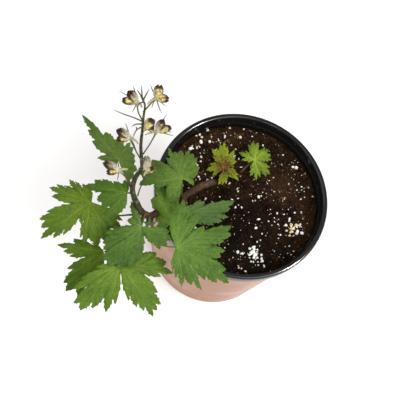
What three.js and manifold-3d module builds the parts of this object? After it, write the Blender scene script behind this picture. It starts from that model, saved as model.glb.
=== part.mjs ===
// A young delphinium in a round nursery pot: pot, potting soil, one flowering stem that leans out
// over the rim and turns up, seven opening blooms, eleven cut leaves and two seedlings.
// Millimetres, +Z up. The origin is the centre of the pot's underside, on the surface it stands on.

import * as THREE from 'three';
import { mergeVertices } from 'three/addons/utils/BufferGeometryUtils.js';
import Module from 'manifold-3d';

const wasm = await Module();
wasm.setup();

// ---------------------------------------------------------------------------------------------
// Driving dimensions
// ---------------------------------------------------------------------------------------------

const SEAT_GAP = 0.3;          // clearance kept between pieces that touch
const WELD = 0.002;            // corners closer than this are one corner
const DEG = Math.PI / 180;

const POT = {
  height: 160,
  rimRadius: 82.5,
  rimDepth: 10,                // height of the rolled skirt under the lip
  mouthRadius: 77.5,
  baseRadius: 66.8,
  shoulderRadius: 79.5,        // outside of the wall where it meets the skirt
  wall: 2.2,
  floor: 3,
  drainRadius: 5,
  drainCircle: 46,
  drains: 8,
  segments: 40,
};

const SOIL = {
  level: 143,
  relief: 1.1,
  rings: 6,
  sectors: 30,
  grains: 52,                  // perlite grains standing proud of the surface
  grainSmallest: 1.0,
  grainLargest: 2.1,
  clearOfStems: 9,
  seed: 11,
};

const BLADE = {
  thickness: 0.9,
  blend: 22,                   // degrees over which one lobe's bend gives way to the next
  rings: [0.35, 0.7, 1],       // where the spokes bend, as shares of their length
  smallRings: [0.55, 1],       // the same on a leaf that is small all round
  small: 30,                   // a small leaf's reach
};

const PETIOLE_RADIUS = 0.8;
const TUBE_SIDES = 5;

const STEM = {
  // From the hole in the soil, out over the rim, round the bend and up through the spike.
  path: [
    [-17, 21, 112], [-20, 19.5, 130], [-26, 15.5, 144], [-40, 7, 152], [-58, -8, 161], [-74, -20, 169],
    [-89, -32, 178], [-96, -32, 185], [-102, -27, 194], [-107, -20, 207], [-106, -15, 220],
    [-102, -11, 234], [-104, -9, 250], [-106, -6, 265], [-107, -3, 284], [-108, -1, 303],
    [-109, -1, 321], [-112, -2, 334],
  ],
  radii: [3.4, 3.4, 3.3, 3.2, 3.0, 2.9, 3.0, 2.8, 2.5, 2.2, 1.9, 1.7, 1.4, 1.2, 1.0, 0.8, 0.65, 0.45],
  steps: 32,
  sides: 8,
};

// Narrow bracts and the unopened filaments at the stem's tip: each runs out from the stem.
const BRACT_RADII = [0.55, 0.45, 0.35];
const BRACTS = [
  [[-107, -2, 297], [-114, -1, 301], [-122, 0, 304], [-130, 1, 308]],
  [[-107, -2, 294], [-113, -4, 297], [-116, -7, 299]],
  [[-107, -3, 292], [-112, -7, 294], [-115, -14, 295]],
  [[-112, -6.5, 294], [-113, -7, 299]],
  [[-111, -2, 329], [-114, -2, 338], [-117, -3, 346]],
  [[-112, -2, 332], [-113, -1, 339], [-114, 0, 347]],
  [[-111, -2, 331], [-110, -2, 339], [-109, -2, 346]],
  [[-110, -1, 326], [-113, -4, 330], [-115, -6, 331]],
];

// A leaf is a hub where its veins meet, a petiole from the stem, and lobes anticlockwise round the
// hub. A lobe has its rise and the tips of its fingers, each a heading (degrees from +X) and a reach.
// The sinuses stand before, between and after the lobes: a heading, and how far out from the hub
// each starts. The cut is how much nearer to the hub the notch between two fingers lies.
const LEAVES = {
  leaf_far_left: {
    hub: [-141, -21, 176],
    petiole: [[-95, -32, 183], [-106, -31, 176], [-117, -30, 171], [-130, -25, 171], [-141, -21, 175.5]],
    lobes: [
      { rise: -4, tips: [[109, 19], [122, 24], [128, 29]] },
      { rise: -6, tips: [[143, 28], [147, 34], [156, 38], [169, 33]] },
      { rise: -13, tips: [[190, 37], [196, 44], [206, 45], [216, 50], [225, 42], [232, 35]] },
      { rise: -12, tips: [[251, 20], [256, 30], [263, 34]] },
      { rise: -9, tips: [[284, 36], [297, 37]] },
      { rise: -4, tips: [[325, 34], [335, 32]] },
    ],
    sinuses: [[72, 9], [137, 20], [185, 16], [238, 16], [270, 29], [310, 28], [345, 16]],
    cut: 4, arch: 2.5, fold: 0.12,
  },
  leaf_mid_left: {
    hub: [-111, -21, 202],
    petiole: [[-105, -20, 200], [-108, -20.5, 201.5], [-111, -21, 201.5]],
    lobes: [
      { rise: 1, tips: [[98, 12]] },
      { rise: -6, tips: [[135, 16], [147, 25], [153, 30], [167, 37]] },
      { rise: -9, tips: [[189, 25], [207, 23]] },
      { rise: -11, tips: [[225, 26], [246, 19]] },
    ],
    sinuses: [[65, 4], [117, 9], [176, 21], [217, 17], [271, 9]],
    cut: 1.5, arch: 2, fold: 0.25,
  },
  leaf_upper_left: {
    hub: [-119, 4, 214],
    petiole: [[-106, -21, 205], [-111, -12, 207], [-116, -2, 211], [-119, 4, 213.5]],
    lobes: [
      { rise: -5, tips: [[-64, 21], [-49, 20], [-31, 18]] },
      { rise: 1, tips: [[-4, 14], [15, 14]] },
      { rise: 5, tips: [[38, 15], [57, 17]] },
      { rise: 8, tips: [[86, 18], [117, 25], [131, 48], [139, 35], [147, 27]] },
      { rise: -4, tips: [[173, 18]] },
      { rise: -3, tips: [[240, 13]] },
    ],
    sinuses: [[-72, 6], [-16, 13], [27, 12], [69, 11], [160, 11], [204, 8], [254, 5]],
    cut: 1.5, arch: 2, fold: -0.08,
  },
  leaf_rim_back: {
    hub: [-63, -3, 196],
    petiole: [[-58, -8, 162], [-60, -8, 174], [-62, -6, 190], [-63, -3, 195.5]],
    lobes: [
      { rise: -4, tips: [[-24, 12]] },
      { rise: 3, tips: [[34, 19], [55, 24], [66, 25], [77, 27]] },
      { rise: 2, tips: [[92, 26], [105, 25], [113, 30], [127, 23]] },
      { rise: -6, tips: [[146, 31], [168, 36], [188, 37], [198, 26]] },
      { rise: -7, tips: [[240, 22], [258, 22]] },
    ],
    sinuses: [[-32, 4], [6, 10], [84, 21], [135, 12], [206, 15], [264, 8]],
    cut: 2, arch: 1.5, fold: 0.12,
  },
  leaf_folded: {
    hub: [-70, -38, 180],
    petiole: [[-57, -9, 165], [-62, -22, 170], [-67, -33, 176], [-70, -38, 179.5]],
    lobes: [
      { rise: 1, tips: [[57, 19], [79, 26]] },
      { rise: 5, tips: [[103, 34], [113, 36], [131, 28]] },
      { rise: -8, tips: [[161, 15], [194, 13], [219, 9]] },
    ],
    sinuses: [[52, 4], [94, 20], [142, 14], [226, 4]],
    cut: 2, arch: 1, fold: 0.3,
  },
  leaf_centre: {
    hub: [-98, -47, 192],
    petiole: [[-94, -33, 187], [-96, -40, 188], [-98, -47, 191.5]],
    lobes: [
      { rise: -7, tips: [[100, 13], [107, 27]] },
      { rise: -2, tips: [[155, 13]] },
      { rise: -8, tips: [[182, 22], [187, 30], [201, 34], [210, 36]] },
      { rise: -12, tips: [[218, 41], [229, 42], [242, 38]] },
      { rise: -12, tips: [[256, 34], [270, 27]] },
      { rise: -1, tips: [[302, 18], [309, 25], [323, 27], [339, 28], [354, 25]] },
    ],
    sinuses: [[93, 4], [128, 12], [172, 8], [214, 33], [248, 32], [288, 7], [358, 8]],
    cut: 2, arch: 2, fold: 0.1,
  },
  leaf_right: {
    hub: [-59, -29, 172],
    petiole: [[-55, -8, 163], [-55, -17, 166], [-59, -29, 171.5]],
    lobes: [
      { rise: -5, tips: [[-23, 19], [-14, 29], [-5, 36]] },
      { rise: -3, tips: [[2, 42]] },
      { rise: 2, tips: [[12, 45], [19, 51]] },
      { rise: 3, tips: [[36, 24], [44, 22], [54, 13]] },
    ],
    sinuses: [[-31, 7], [-1, 34], [7, 36], [28, 21], [62, 7]],
    cut: 1.5, arch: 2, fold: 0.15,
  },
  leaf_rim_front: {
    hub: [-68, -64, 192],
    petiole: [[-87, -32, 175], [-87, -45, 177], [-82, -58, 183], [-75, -63, 189], [-68, -64, 191.5]],
    lobes: [
      { rise: -12, tips: [[-107, 17], [-100, 21], [-92, 25], [-81, 32]] },
      { rise: -12, tips: [[-67, 33], [-57, 41]] },
      { rise: -8, tips: [[-47, 36], [-39, 45], [-32, 54], [-21, 46]] },
      { rise: -3, tips: [[-10, 39], [-2, 42]] },
      { rise: 2, tips: [[9, 42], [14, 49], [23, 52], [39, 30]] },
      { rise: 4, tips: [[53, 32], [59, 35]] },
      { rise: 4, tips: [[74, 38], [82, 42], [100, 29]] },
    ],
    sinuses: [[-115, 9], [-74, 24], [-53, 17], [-16, 31], [5, 30], [47, 11], [68, 27], [118, 11]],
    cut: 2.5, arch: 2.5, fold: 0.12,
  },
  leaf_bottom: {
    hub: [-115, -76, 176],
    petiole: [[-90, -33, 175], [-93, -46, 171], [-102, -62, 171], [-115, -76, 175.5]],
    lobes: [
      { rise: -10, tips: [[185, 19], [200, 34], [206, 43]] },
      { rise: -13, tips: [[219, 48], [229, 48], [238, 41]] },
      { rise: -15, tips: [[255, 39], [266, 32]] },
      { rise: -14, tips: [[286, 31], [294, 38], [300, 43], [306, 51], [313, 49], [320, 48], [327, 40]] },
      { rise: -3, tips: [[345, 37], [353, 47], [366, 41], [381, 34], [397, 25]] },
    ],
    sinuses: [[168, 6], [214, 31], [246, 29], [279, 7], [339, 22], [408, 12]],
    cut: 3, arch: 3, fold: 0.1,
  },
  leaf_lower_left: {
    hub: [-127, -60, 160],
    petiole: [[-95, -34, 179], [-103, -45, 170], [-115, -54, 161], [-127, -60, 159.5]],
    lobes: [
      { rise: -5, tips: [[144, 14], [155, 29], [170, 41], [179, 35], [187, 30]] },
      { rise: -12, tips: [[203, 34], [216, 42], [225, 45]] },
      { rise: -14, tips: [[239, 42], [254, 31]] },
    ],
    sinuses: [[120, 2], [196, 16], [232, 37], [272, 13]],
    cut: 3, arch: 2, fold: 0.15,
  },
};

const CURLED_LEAF = {
  hub: [-90, -42, 182],
  petiole: [[-90, -34, 181], [-90, -39, 181], [-90, -42, 182]],
  lobes: [
    { rise: 2, tips: [[-30, 5]] },
    { rise: 3, tips: [[20, 6]] },
    { rise: 4, tips: [[90, 6]] },
    { rise: 3, tips: [[160, 6]] },
    { rise: 2, tips: [[210, 5]] },
  ],
  sinuses: [[-50, 2], [-5, 3], [55, 3], [125, 3], [185, 3], [235, 2]],
  cut: 0.5, arch: 0.5, fold: -0.4,
};

const SEEDLINGS = {
  seedling_bronze: {
    hub: [-15, 29, 150],
    petiole: [[-16, 34, 126], [-16, 34, 142], [-15, 29, 149.5]],
    lobes: [
      { rise: -2, tips: [[-108, 18], [-96, 17], [-81, 16], [-72, 12]] },
      { rise: 0, tips: [[-54, 14], [-43, 19], [-26, 16], [-13, 12]] },
      { rise: 1, tips: [[8, 10]] },
      { rise: 2, tips: [[28, 15], [43, 16], [59, 21]] },
      { rise: 3, tips: [[79, 22], [88, 26], [97, 24]] },
      { rise: 1, tips: [[108, 21], [121, 22], [134, 15]] },
      { rise: -1, tips: [[163, 14], [190, 17], [217, 14]] },
    ],
    sinuses: [[-116, 5], [-63, 6], [-2, 5], [18, 5], [69, 10], [102, 12], [147, 6], [229, 6]],
    cut: 3, arch: 1.5, fold: 0.2,
  },
  seedling_green: {
    hub: [15, 37, 152],
    petiole: [[3, 28, 126], [3, 28, 142], [8, 32, 148], [15, 37, 151.5]],
    lobes: [
      { rise: -4, tips: [[-118, 10], [-106, 16], [-85, 19], [-70, 17]] },
      { rise: -3, tips: [[-52, 19], [-38, 20], [-20, 17]] },
      { rise: -1, tips: [[7, 18], [24, 19], [41, 20], [53, 19]] },
      { rise: 0, tips: [[65, 13], [76, 20], [92, 20], [107, 18]] },
      { rise: 0, tips: [[132, 13], [153, 17], [182, 13], [200, 8]] },
    ],
    sinuses: [[-126, 5], [-61, 8], [-7, 5], [59, 5], [120, 5], [208, 3]],
    cut: 3, arch: 1.5, fold: 0.12,
  },
};

// A bloom: its pedicel from the stem, the base of its flower, the tips of its two cups (the hood of
// upper sepals and the lip of lower ones), where its spur ends, and the thin bracteoles below it.
const BLOOM = {
  cups: { hood: 3.5, lip: 3.0 },  // radius of each
  sepals: 3,                   // in each cup
  sepalWidth: 57,              // half width of a sepal, in degrees round its cup
  sepalThickness: 0.8,
  profile: [0.4, 0.95, 0.95, 0.3],  // a sepal's distance from its cup's axis, from base to tip
  narrowest: 0.5,              // a sepal's width at its ends, as a share of its widest
  pedicelRadius: 0.8,
  spurRadii: [1.4, 1.1, 0.7],
  bracteoleRadii: [0.6, 0.4],
  innermost: 0.2,              // how near a sepal's inner face comes to its cup's axis
  heart: 0.5,                  // radius of the closed petals inside a cup, as a share of the cup's
};
const BLOOMS = {
  bloom_top_left: {
    pedicel: [[-108, -2, 299], [-112, 1, 306], [-114, 3, 313]],
    base: [-114, 5, 314.5], hood: [-120.5, 9, 322], lip: [-124.5, 5, 316], spur: [-110, 1.5, 313],
    bracteoles: [[-127, 9, 321], [-118, 11, 327], [-117, -2, 311]],
  },
  bloom_top_right: {
    pedicel: [[-109, -1, 311], [-105, 2, 317], [-102, 4, 321]],
    base: [-101, 5, 322], hood: [-99, 11, 330], lip: [-92.5, 3, 325], spur: [-107, 1, 319],
    bracteoles: [[-106, 11, 330], [-94, 0, 320], [-104, -2, 319], [-97, -5, 319]],
  },
  bloom_front: {
    pedicel: [[-106, -4, 286], [-105, -5, 291], [-105, -4.5, 294]],
    base: [-105, -4.5, 295], hood: [-101, -2.5, 303], lip: [-100, -6.5, 299], spur: [-106, -6, 290],
    bracteoles: [[-101, -9, 294], [-100, 2, 295]],
  },
  bloom_right: {
    pedicel: [[-103, -8, 254], [-99, -4, 264], [-96, 0, 275]],
    base: [-95, 1, 277], hood: [-91, 6.5, 286], lip: [-84.5, 3, 281], spur: [-104, -2, 276],
    bracteoles: [[-83, -4, 281], [-84, 0, 279], [-89, 9, 291]],
  },
  bloom_left: {
    pedicel: [[-104, -9, 246], [-108, -7, 254], [-114, -2, 266]],
    base: [-115, -1, 268], hood: [-125, 0.5, 277], lip: [-124.5, -4, 270], spur: [-108, -5, 266],
    bracteoles: [[-119, 6, 278], [-109, -8, 260]],
  },
  bloom_lower_left: {
    pedicel: [[-107, -18, 211], [-113, -16, 222], [-119, -13, 230]],
    base: [-120, -13, 231], hood: [-133, -10, 239], lip: [-130, -16, 233], spur: [-113, -12, 232],
    bracteoles: [[-122, -7, 238], [-121, -20, 226], [-113, -14, 228]],
  },
  bloom_lower_right: {
    pedicel: [[-102, -23, 202], [-101, -20, 212], [-98, -16, 225], [-97.5, -14, 234]],
    base: [-97.5, -14, 235], hood: [-99.5, -6, 246], lip: [-94, -13.5, 241], spur: [-100, -17, 231],
    bracteoles: [[-89, -9, 240], [-91, -16, 235]],
  },
};

const COLOURS = {
  pot: 0xc79f8c,
  soil: 0x35271b,
  stem: 0x5a5a3c,
  leaf: 0x5f8436,
  leafDark: 0x4a6c34,
  bronze: 0x6f5f2a,
  seedling: 0x86a044,
  bloom: 0xa39c78,
};

// ---------------------------------------------------------------------------------------------
// Solids: to and from closed meshes, tapered tubes, seeded draws
// ---------------------------------------------------------------------------------------------

const vec = ([x, y, z]) => new THREE.Vector3(x, y, z);

/** A repeatable draw of numbers from 0 to 1. */
function seededDraw(seed) {
  let state = seed * 2654435761 >>> 0;
  return () => {
    state = state + 0x6d2b79f5 >>> 0;
    let mixed = Math.imul(state ^ state >>> 15, state | 1);
    mixed ^= mixed + Math.imul(mixed ^ mixed >>> 7, mixed | 61);
    return ((mixed ^ mixed >>> 14) >>> 0) / 4294967296;
  };
}

/** Turns a closed geometry into a solid, with its faces pointing outwards. */
function toSolid(geometry, weld = 1e-4) {
  const bare = new THREE.BufferGeometry();
  bare.setAttribute('position', geometry.getAttribute('position').clone());
  const count = bare.getAttribute('position').count;
  bare.setIndex(geometry.index ? geometry.index.clone() : [...Array(count).keys()]);
  const merged = mergeVertices(bare, weld);
  const vertProperties = Float32Array.from(merged.getAttribute('position').array);
  const corners = Array.from(merged.index.array);
  const triVerts = [];
  for (let i = 0; i < corners.length; i += 3) {
    const [a, b, c] = corners.slice(i, i + 3);
    if (a !== b && b !== c && c !== a) triVerts.push(a, b, c);
  }
  const outward = signedVolume(vertProperties, triVerts) > 0;
  if (!outward) triVerts.reverse();
  const mesh = { numProp: 3, vertProperties, triVerts: Uint32Array.from(triVerts) };
  return new wasm.Manifold(new wasm.Mesh(mesh));
}

/** Six times the volume inside a triangle list, negative where it is inside out. */
function signedVolume(positions, triangles) {
  const corner = (i) => new THREE.Vector3().fromArray(positions, 3 * i);
  let sum = 0;
  for (let i = 0; i < triangles.length; i += 3) {
    const [a, b, c] = [corner(triangles[i]), corner(triangles[i + 1]), corner(triangles[i + 2])];
    sum += a.dot(b.cross(c));
  }
  return sum;
}

/** Joins solids into one body and drops any loose scrap. */
function fuse(solids) {
  let whole = solids[0];
  for (const solid of solids.slice(1)) whole = whole.add(solid);
  return largestBody(whole);
}

/** The largest of a solid's separate bodies. */
function largestBody(solid) {
  const bodies = solid.decompose();
  return bodies.reduce((best, body) => (body.volume() > best.volume() ? body : best));
}

/** The plain geometry of a solid. */
function toGeometry(solid) {
  const { vertProperties, triVerts } = solid.getMesh();
  const geometry = new THREE.BufferGeometry();
  geometry.setAttribute('position', new THREE.BufferAttribute(Float32Array.from(vertProperties), 3));
  geometry.setIndex(new THREE.BufferAttribute(Uint32Array.from(triVerts), 1));
  return geometry;
}

/** Welds corners that lie closer than the finest step, and fills any hollow that this closes. */
function settle(solid) {
  let settled = solid;
  for (let pass = 0; pass < 3; pass += 1) settled = largestBody(toSolid(toGeometry(settled), WELD));
  return settled;
}

/** A named mesh of a solid. */
function meshOf(name, solid, colour, roughness) {
  const geometry = toGeometry(settle(solid));
  geometry.computeVertexNormals();
  const material = new THREE.MeshStandardMaterial({ color: colour, roughness, metalness: 0 });
  const mesh = new THREE.Mesh(geometry, material);
  mesh.name = name;
  return mesh;
}

/** Reads a list of values as a smooth run, at a share t from 0 to 1 along it. */
function along(values, t) {
  const place = t * (values.length - 1);
  const low = Math.min(Math.floor(place), values.length - 2);
  return THREE.MathUtils.lerp(values[low], values[low + 1], place - low);
}

/** A closed round tube along a smooth curve through the points, its radius changing on the way. */
function taperedTube(points, radii, { sides = TUBE_SIDES, steps = 2 * points.length, grow = 0 } = {}) {
  const curve = new THREE.CatmullRomCurve3(points.map(vec), false, 'centripetal');
  const frames = curve.computeFrenetFrames(steps, false);
  const positions = [];
  for (let i = 0; i <= steps; i += 1) {
    const centre = curve.getPointAt(i / steps);
    const radius = along(radii, curve.getUtoTmapping(i / steps)) + grow;
    for (let j = 0; j < sides; j += 1) {
      const angle = 2 * Math.PI * j / sides;
      const out = frames.normals[i].clone().multiplyScalar(Math.cos(angle) * radius);
      out.addScaledVector(frames.binormals[i], Math.sin(angle) * radius);
      positions.push(...centre.clone().add(out).toArray());
    }
  }
  const index = [];
  for (let i = 0; i < steps; i += 1) {
    for (let j = 0; j < sides; j += 1) {
      const [a, b] = [i * sides + j, i * sides + (j + 1) % sides];
      index.push(a, b, b + sides, a, b + sides, a + sides);
    }
  }
  for (let j = 1; j < sides - 1; j += 1) {
    const last = steps * sides;
    index.push(0, j + 1, j, last, last + j, last + j + 1);
  }
  return toSolid(indexedGeometry(positions, index));
}

function indexedGeometry(positions, index) {
  const geometry = new THREE.BufferGeometry();
  geometry.setAttribute('position', new THREE.Float32BufferAttribute(positions, 3));
  geometry.setIndex(index);
  return geometry;
}

// ---------------------------------------------------------------------------------------------
// Pot and soil
// ---------------------------------------------------------------------------------------------

/** The wall's outside radius at a height. */
function potRadiusAt(z) {
  const shoulder = POT.height - POT.rimDepth;
  return THREE.MathUtils.lerp(POT.baseRadius, POT.shoulderRadius, z / shoulder);
}

/** The pot: a tapered thin wall with a rolled skirt, a step inside the mouth and drain holes. */
function nurseryPot() {
  const skirtFoot = POT.height - POT.rimDepth;
  const inside = (z) => potRadiusAt(z) - POT.wall;
  const profile = [
    [0, 0], [POT.baseRadius - 2, 0], [potRadiusAt(2), 2], [potRadiusAt(skirtFoot), skirtFoot],
    [POT.rimRadius - 0.6, skirtFoot], [POT.rimRadius, skirtFoot + 1.2], [POT.rimRadius, POT.height - 2.2],
    [POT.rimRadius - 1.6, POT.height], [POT.mouthRadius + 1.4, POT.height],
    [POT.mouthRadius, POT.height - 1.6],
    [POT.mouthRadius - 0.4, skirtFoot + 1], [inside(skirtFoot) - 1.2, skirtFoot - 1],
    [inside(skirtFoot - 5), skirtFoot - 5], [inside(POT.floor), POT.floor], [0, POT.floor],
  ].map(([r, z]) => new THREE.Vector2(r, z));
  const turned = new THREE.LatheGeometry(profile, POT.segments).rotateX(Math.PI / 2);
  let solid = toSolid(turned);
  for (let i = 0; i < POT.drains; i += 1) {
    const angle = 2 * Math.PI * (i + 0.5) / POT.drains;
    const hole = new THREE.CylinderGeometry(POT.drainRadius, POT.drainRadius, 4 * POT.floor, 12);
    hole.rotateX(Math.PI / 2);
    hole.translate(POT.drainCircle * Math.cos(angle), POT.drainCircle * Math.sin(angle), POT.floor / 2);
    solid = solid.subtract(toSolid(hole));
  }
  return solid;
}

/** The gentle rise and fall of the soil's surface. */
function soilHeight(x, y) {
  const swell = Math.sin(x / 17 + 1.2) * Math.cos(y / 21) + 0.6 * Math.sin((x + y) / 11);
  const lumps = 0.5 * Math.sin(x / 4.3) * Math.sin(y / 5.1 + 0.7);
  return SOIL.level + SOIL.relief * (swell + lumps) / 2;
}

/** The plain block of soil that fills the pot, with an uneven top. */
function soilBlock() {
  const { rings, sectors } = SOIL;
  const edge = (z) => potRadiusAt(z) - POT.wall - 2 * SEAT_GAP;
  const bottom = POT.floor + SEAT_GAP;
  const topRadius = edge(SOIL.level);
  const positions = [0, 0, soilHeight(0, 0)];
  const ringOf = (radius, height) => {
    for (let j = 0; j < sectors; j += 1) {
      const angle = 2 * Math.PI * j / sectors;
      const [x, y] = [radius * Math.cos(angle), radius * Math.sin(angle)];
      positions.push(x, y, height(x, y));
    }
  };
  for (let i = 1; i <= rings; i += 1) ringOf(topRadius * i / rings, soilHeight);
  ringOf(edge(bottom), () => bottom);
  positions.push(0, 0, bottom);
  const index = [];
  const at = (i, j) => 1 + (i - 1) * sectors + j % sectors;
  for (let j = 0; j < sectors; j += 1) {
    index.push(0, at(1, j), at(1, j + 1));
    for (let i = 1; i <= rings; i += 1) {
      index.push(at(i, j), at(i + 1, j), at(i + 1, j + 1), at(i, j), at(i + 1, j + 1), at(i, j + 1));
    }
    index.push(positions.length / 3 - 1, at(rings + 1, j + 1), at(rings + 1, j));
  }
  return toSolid(indexedGeometry(positions, index));
}

/** Perlite grains bedded in the soil's surface, drawn with a fixed seed and kept clear of stems. */
function perliteGrains(stemFeet) {
  const draw = seededDraw(SOIL.seed);
  const grains = [];
  const reach = potRadiusAt(SOIL.level) - POT.wall - 5;
  while (grains.length < SOIL.grains) {
    const radius = reach * Math.sqrt(draw());
    const angle = 2 * Math.PI * draw();
    const size = THREE.MathUtils.lerp(SOIL.grainSmallest, SOIL.grainLargest, draw() ** 2);
    const spot = new THREE.Vector3(radius * Math.cos(angle), radius * Math.sin(angle), 0);
    const turn = draw() * Math.PI;
    if (stemFeet.some(([x, y]) => Math.hypot(x - spot.x, y - spot.y) < SOIL.clearOfStems)) continue;
    const grain = new THREE.OctahedronGeometry(size);
    grain.scale(1.15, 0.9, 0.8).rotateZ(turn).rotateX(0.35 * turn);
    grain.translate(spot.x, spot.y, soilHeight(spot.x, spot.y) + 0.15 * size);
    grains.push(toSolid(grain));
  }
  return grains;
}

/** The soil with its grains, and a plain hole for each stem that stands in it. */
function pottingSoil(buried) {
  const feet = buried.map(({ points }) => points[1]);
  let solid = fuse([soilBlock(), ...perliteGrains(feet)]);
  for (const { points, radii, options } of buried) {
    solid = solid.subtract(taperedTube(points, radii, { ...options, grow: SEAT_GAP }));
  }
  return largestBody(solid);
}

// ---------------------------------------------------------------------------------------------
// Stem
// ---------------------------------------------------------------------------------------------

const stemOptions = { sides: STEM.sides, steps: STEM.steps };

/** The stem with its bracts and the filaments at its tip. */
function floweringStem() {
  const bracts = BRACTS.map((points) => taperedTube(points, BRACT_RADII, { sides: 4, steps: 4 }));
  return fuse([taperedTube(STEM.path, STEM.radii, stemOptions), ...bracts]);
}

// ---------------------------------------------------------------------------------------------
// Leaves
// ---------------------------------------------------------------------------------------------

/** A direction in plan from a heading in degrees. */
const planDirection = (heading) => new THREE.Vector2(Math.cos(heading * DEG), Math.sin(heading * DEG));

/** A lobe's rib, which runs to its longest finger. */
function ribOf({ rise, tips }) {
  const [heading, reach] = tips.reduce((longest, tip) => (tip[1] > longest[1] ? tip : longest));
  return { reach, rise, ahead: planDirection(heading) };
}

/**
 * The height of a blade over a spot in plan. Each lobe arches, rises and folds along its rib, and a
 * spot between two lobes takes a share of both, so that the sheet is smooth all round the hub.
 */
function bladeHeight(leaf, ribs, spot) {
  const away = spot.clone().sub(new THREE.Vector2(leaf.hub[0], leaf.hub[1]));
  const out = away.length();
  if (out < 1e-6) return leaf.hub[2];
  let sum = 0;
  let weights = 0;
  for (const rib of ribs) {
    const off = Math.abs(away.angleTo(rib.ahead));
    const weight = Math.exp(-((off / (BLADE.blend * DEG)) ** 2)) + 1e-9;
    const s = Math.min(out / rib.reach, 1.1);
    const crease = leaf.fold * out * Math.sin(Math.min(off, Math.PI / 2));
    sum += weight * (rib.rise * s ** 1.5 + leaf.arch * Math.sin(Math.PI * Math.min(s, 1)) - crease);
    weights += weight;
  }
  return leaf.hub[2] + sum / weights;
}

/** A blade's rim: its sinuses, the tips of its fingers, and a notch between two fingers of a lobe. */
function rimOf({ lobes, sinuses, cut }) {
  const rim = [sinuses[0]];
  lobes.forEach(({ tips }, i) => {
    tips.forEach(([heading, reach], j) => {
      rim.push([heading, reach]);
      if (j + 1 === tips.length) return;
      const [nextHeading, nextReach] = tips[j + 1];
      rim.push([(heading + nextHeading) / 2, Math.min(reach, nextReach) - cut]);
    });
    rim.push(sinuses[i + 1]);
  });
  return rim;
}

/**
 * A palmate blade: a spoke runs from the hub to each corner of the rim, and a bent strip fills the
 * gap between two neighbouring spokes, with the same triangles on both faces of the sheet.
 */
function bladeSolid(leaf) {
  const ribs = leaf.lobes.map(ribOf);
  const rings = ribs.every(({ reach }) => reach < BLADE.small) ? BLADE.smallRings : BLADE.rings;
  const centre = new THREE.Vector2(leaf.hub[0], leaf.hub[1]);
  const points = [[...leaf.hub]];
  const spokes = rimOf(leaf).map(([heading, distance]) => rings.map((share) => {
    const spot = centre.clone().addScaledVector(planDirection(heading), share * distance);
    return points.push([spot.x, spot.y, bladeHeight(leaf, ribs, spot)]) - 1;
  }));
  const faces = [];
  for (let i = 0; i + 1 < spokes.length; i += 1) {
    const [here, next] = [spokes[i], spokes[i + 1]];
    faces.push([0, here[0], next[0]]);
    for (let k = 0; k + 1 < rings.length; k += 1) {
      faces.push([here[k], here[k + 1], next[k + 1]], [here[k], next[k + 1], next[k]]);
    }
  }
  return sheetSolid(points, faces, BLADE.thickness);
}

/** Gives a sheet its thickness: a face above, the same face below and a wall round every edge. */
function sheetSolid(points, faces, thickness) {
  const half = thickness / 2;
  const positions = [];
  for (const [x, y, z] of points) positions.push(x, y, z + half);
  for (const [x, y, z] of points) positions.push(x, y, z - half);
  const below = points.length;
  const index = [];
  const edges = new Set();
  for (const [a, b, c] of faces) {
    index.push(a, b, c, below + a, below + c, below + b);
    for (const [from, to] of [[a, b], [b, c], [c, a]]) edges.add(`${from} ${to}`);
  }
  for (const edge of edges) {
    const [from, to] = edge.split(' ').map(Number);
    if (edges.has(`${to} ${from}`)) continue;
    index.push(from, below + from, below + to, from, below + to, to);
  }
  return toSolid(indexedGeometry(positions, index));
}

/** A leaf's petiole: a slim stalk that widens a little where it leaves the stem. */
function petioleSolid(leaf, radius = PETIOLE_RADIUS, options = {}) {
  return taperedTube(leaf.petiole, [radius * 1.25, radius, radius * 0.9], { steps: 8, ...options });
}

/** A whole leaf, cut back to clear the stem that it grows from. */
function leafSolid(leaf, stemClearance, radius = PETIOLE_RADIUS) {
  const whole = fuse([bladeSolid(leaf), petioleSolid(leaf, radius)]);
  return stemClearance ? largestBody(whole.subtract(stemClearance)) : whole;
}

// ---------------------------------------------------------------------------------------------
// Blooms
// ---------------------------------------------------------------------------------------------

/** The directions of a cup: along its axis to its tip, away from the bloom's other cup, and across. */
function cupFrame(base, tip, other) {
  const ahead = tip.clone().sub(base);
  const length = ahead.length();
  ahead.normalize();
  const across = new THREE.Vector3().crossVectors(ahead, tip.clone().sub(other)).normalize();
  const up = new THREE.Vector3().crossVectors(across, ahead);
  return { ahead, across, up, length, base };
}

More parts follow.
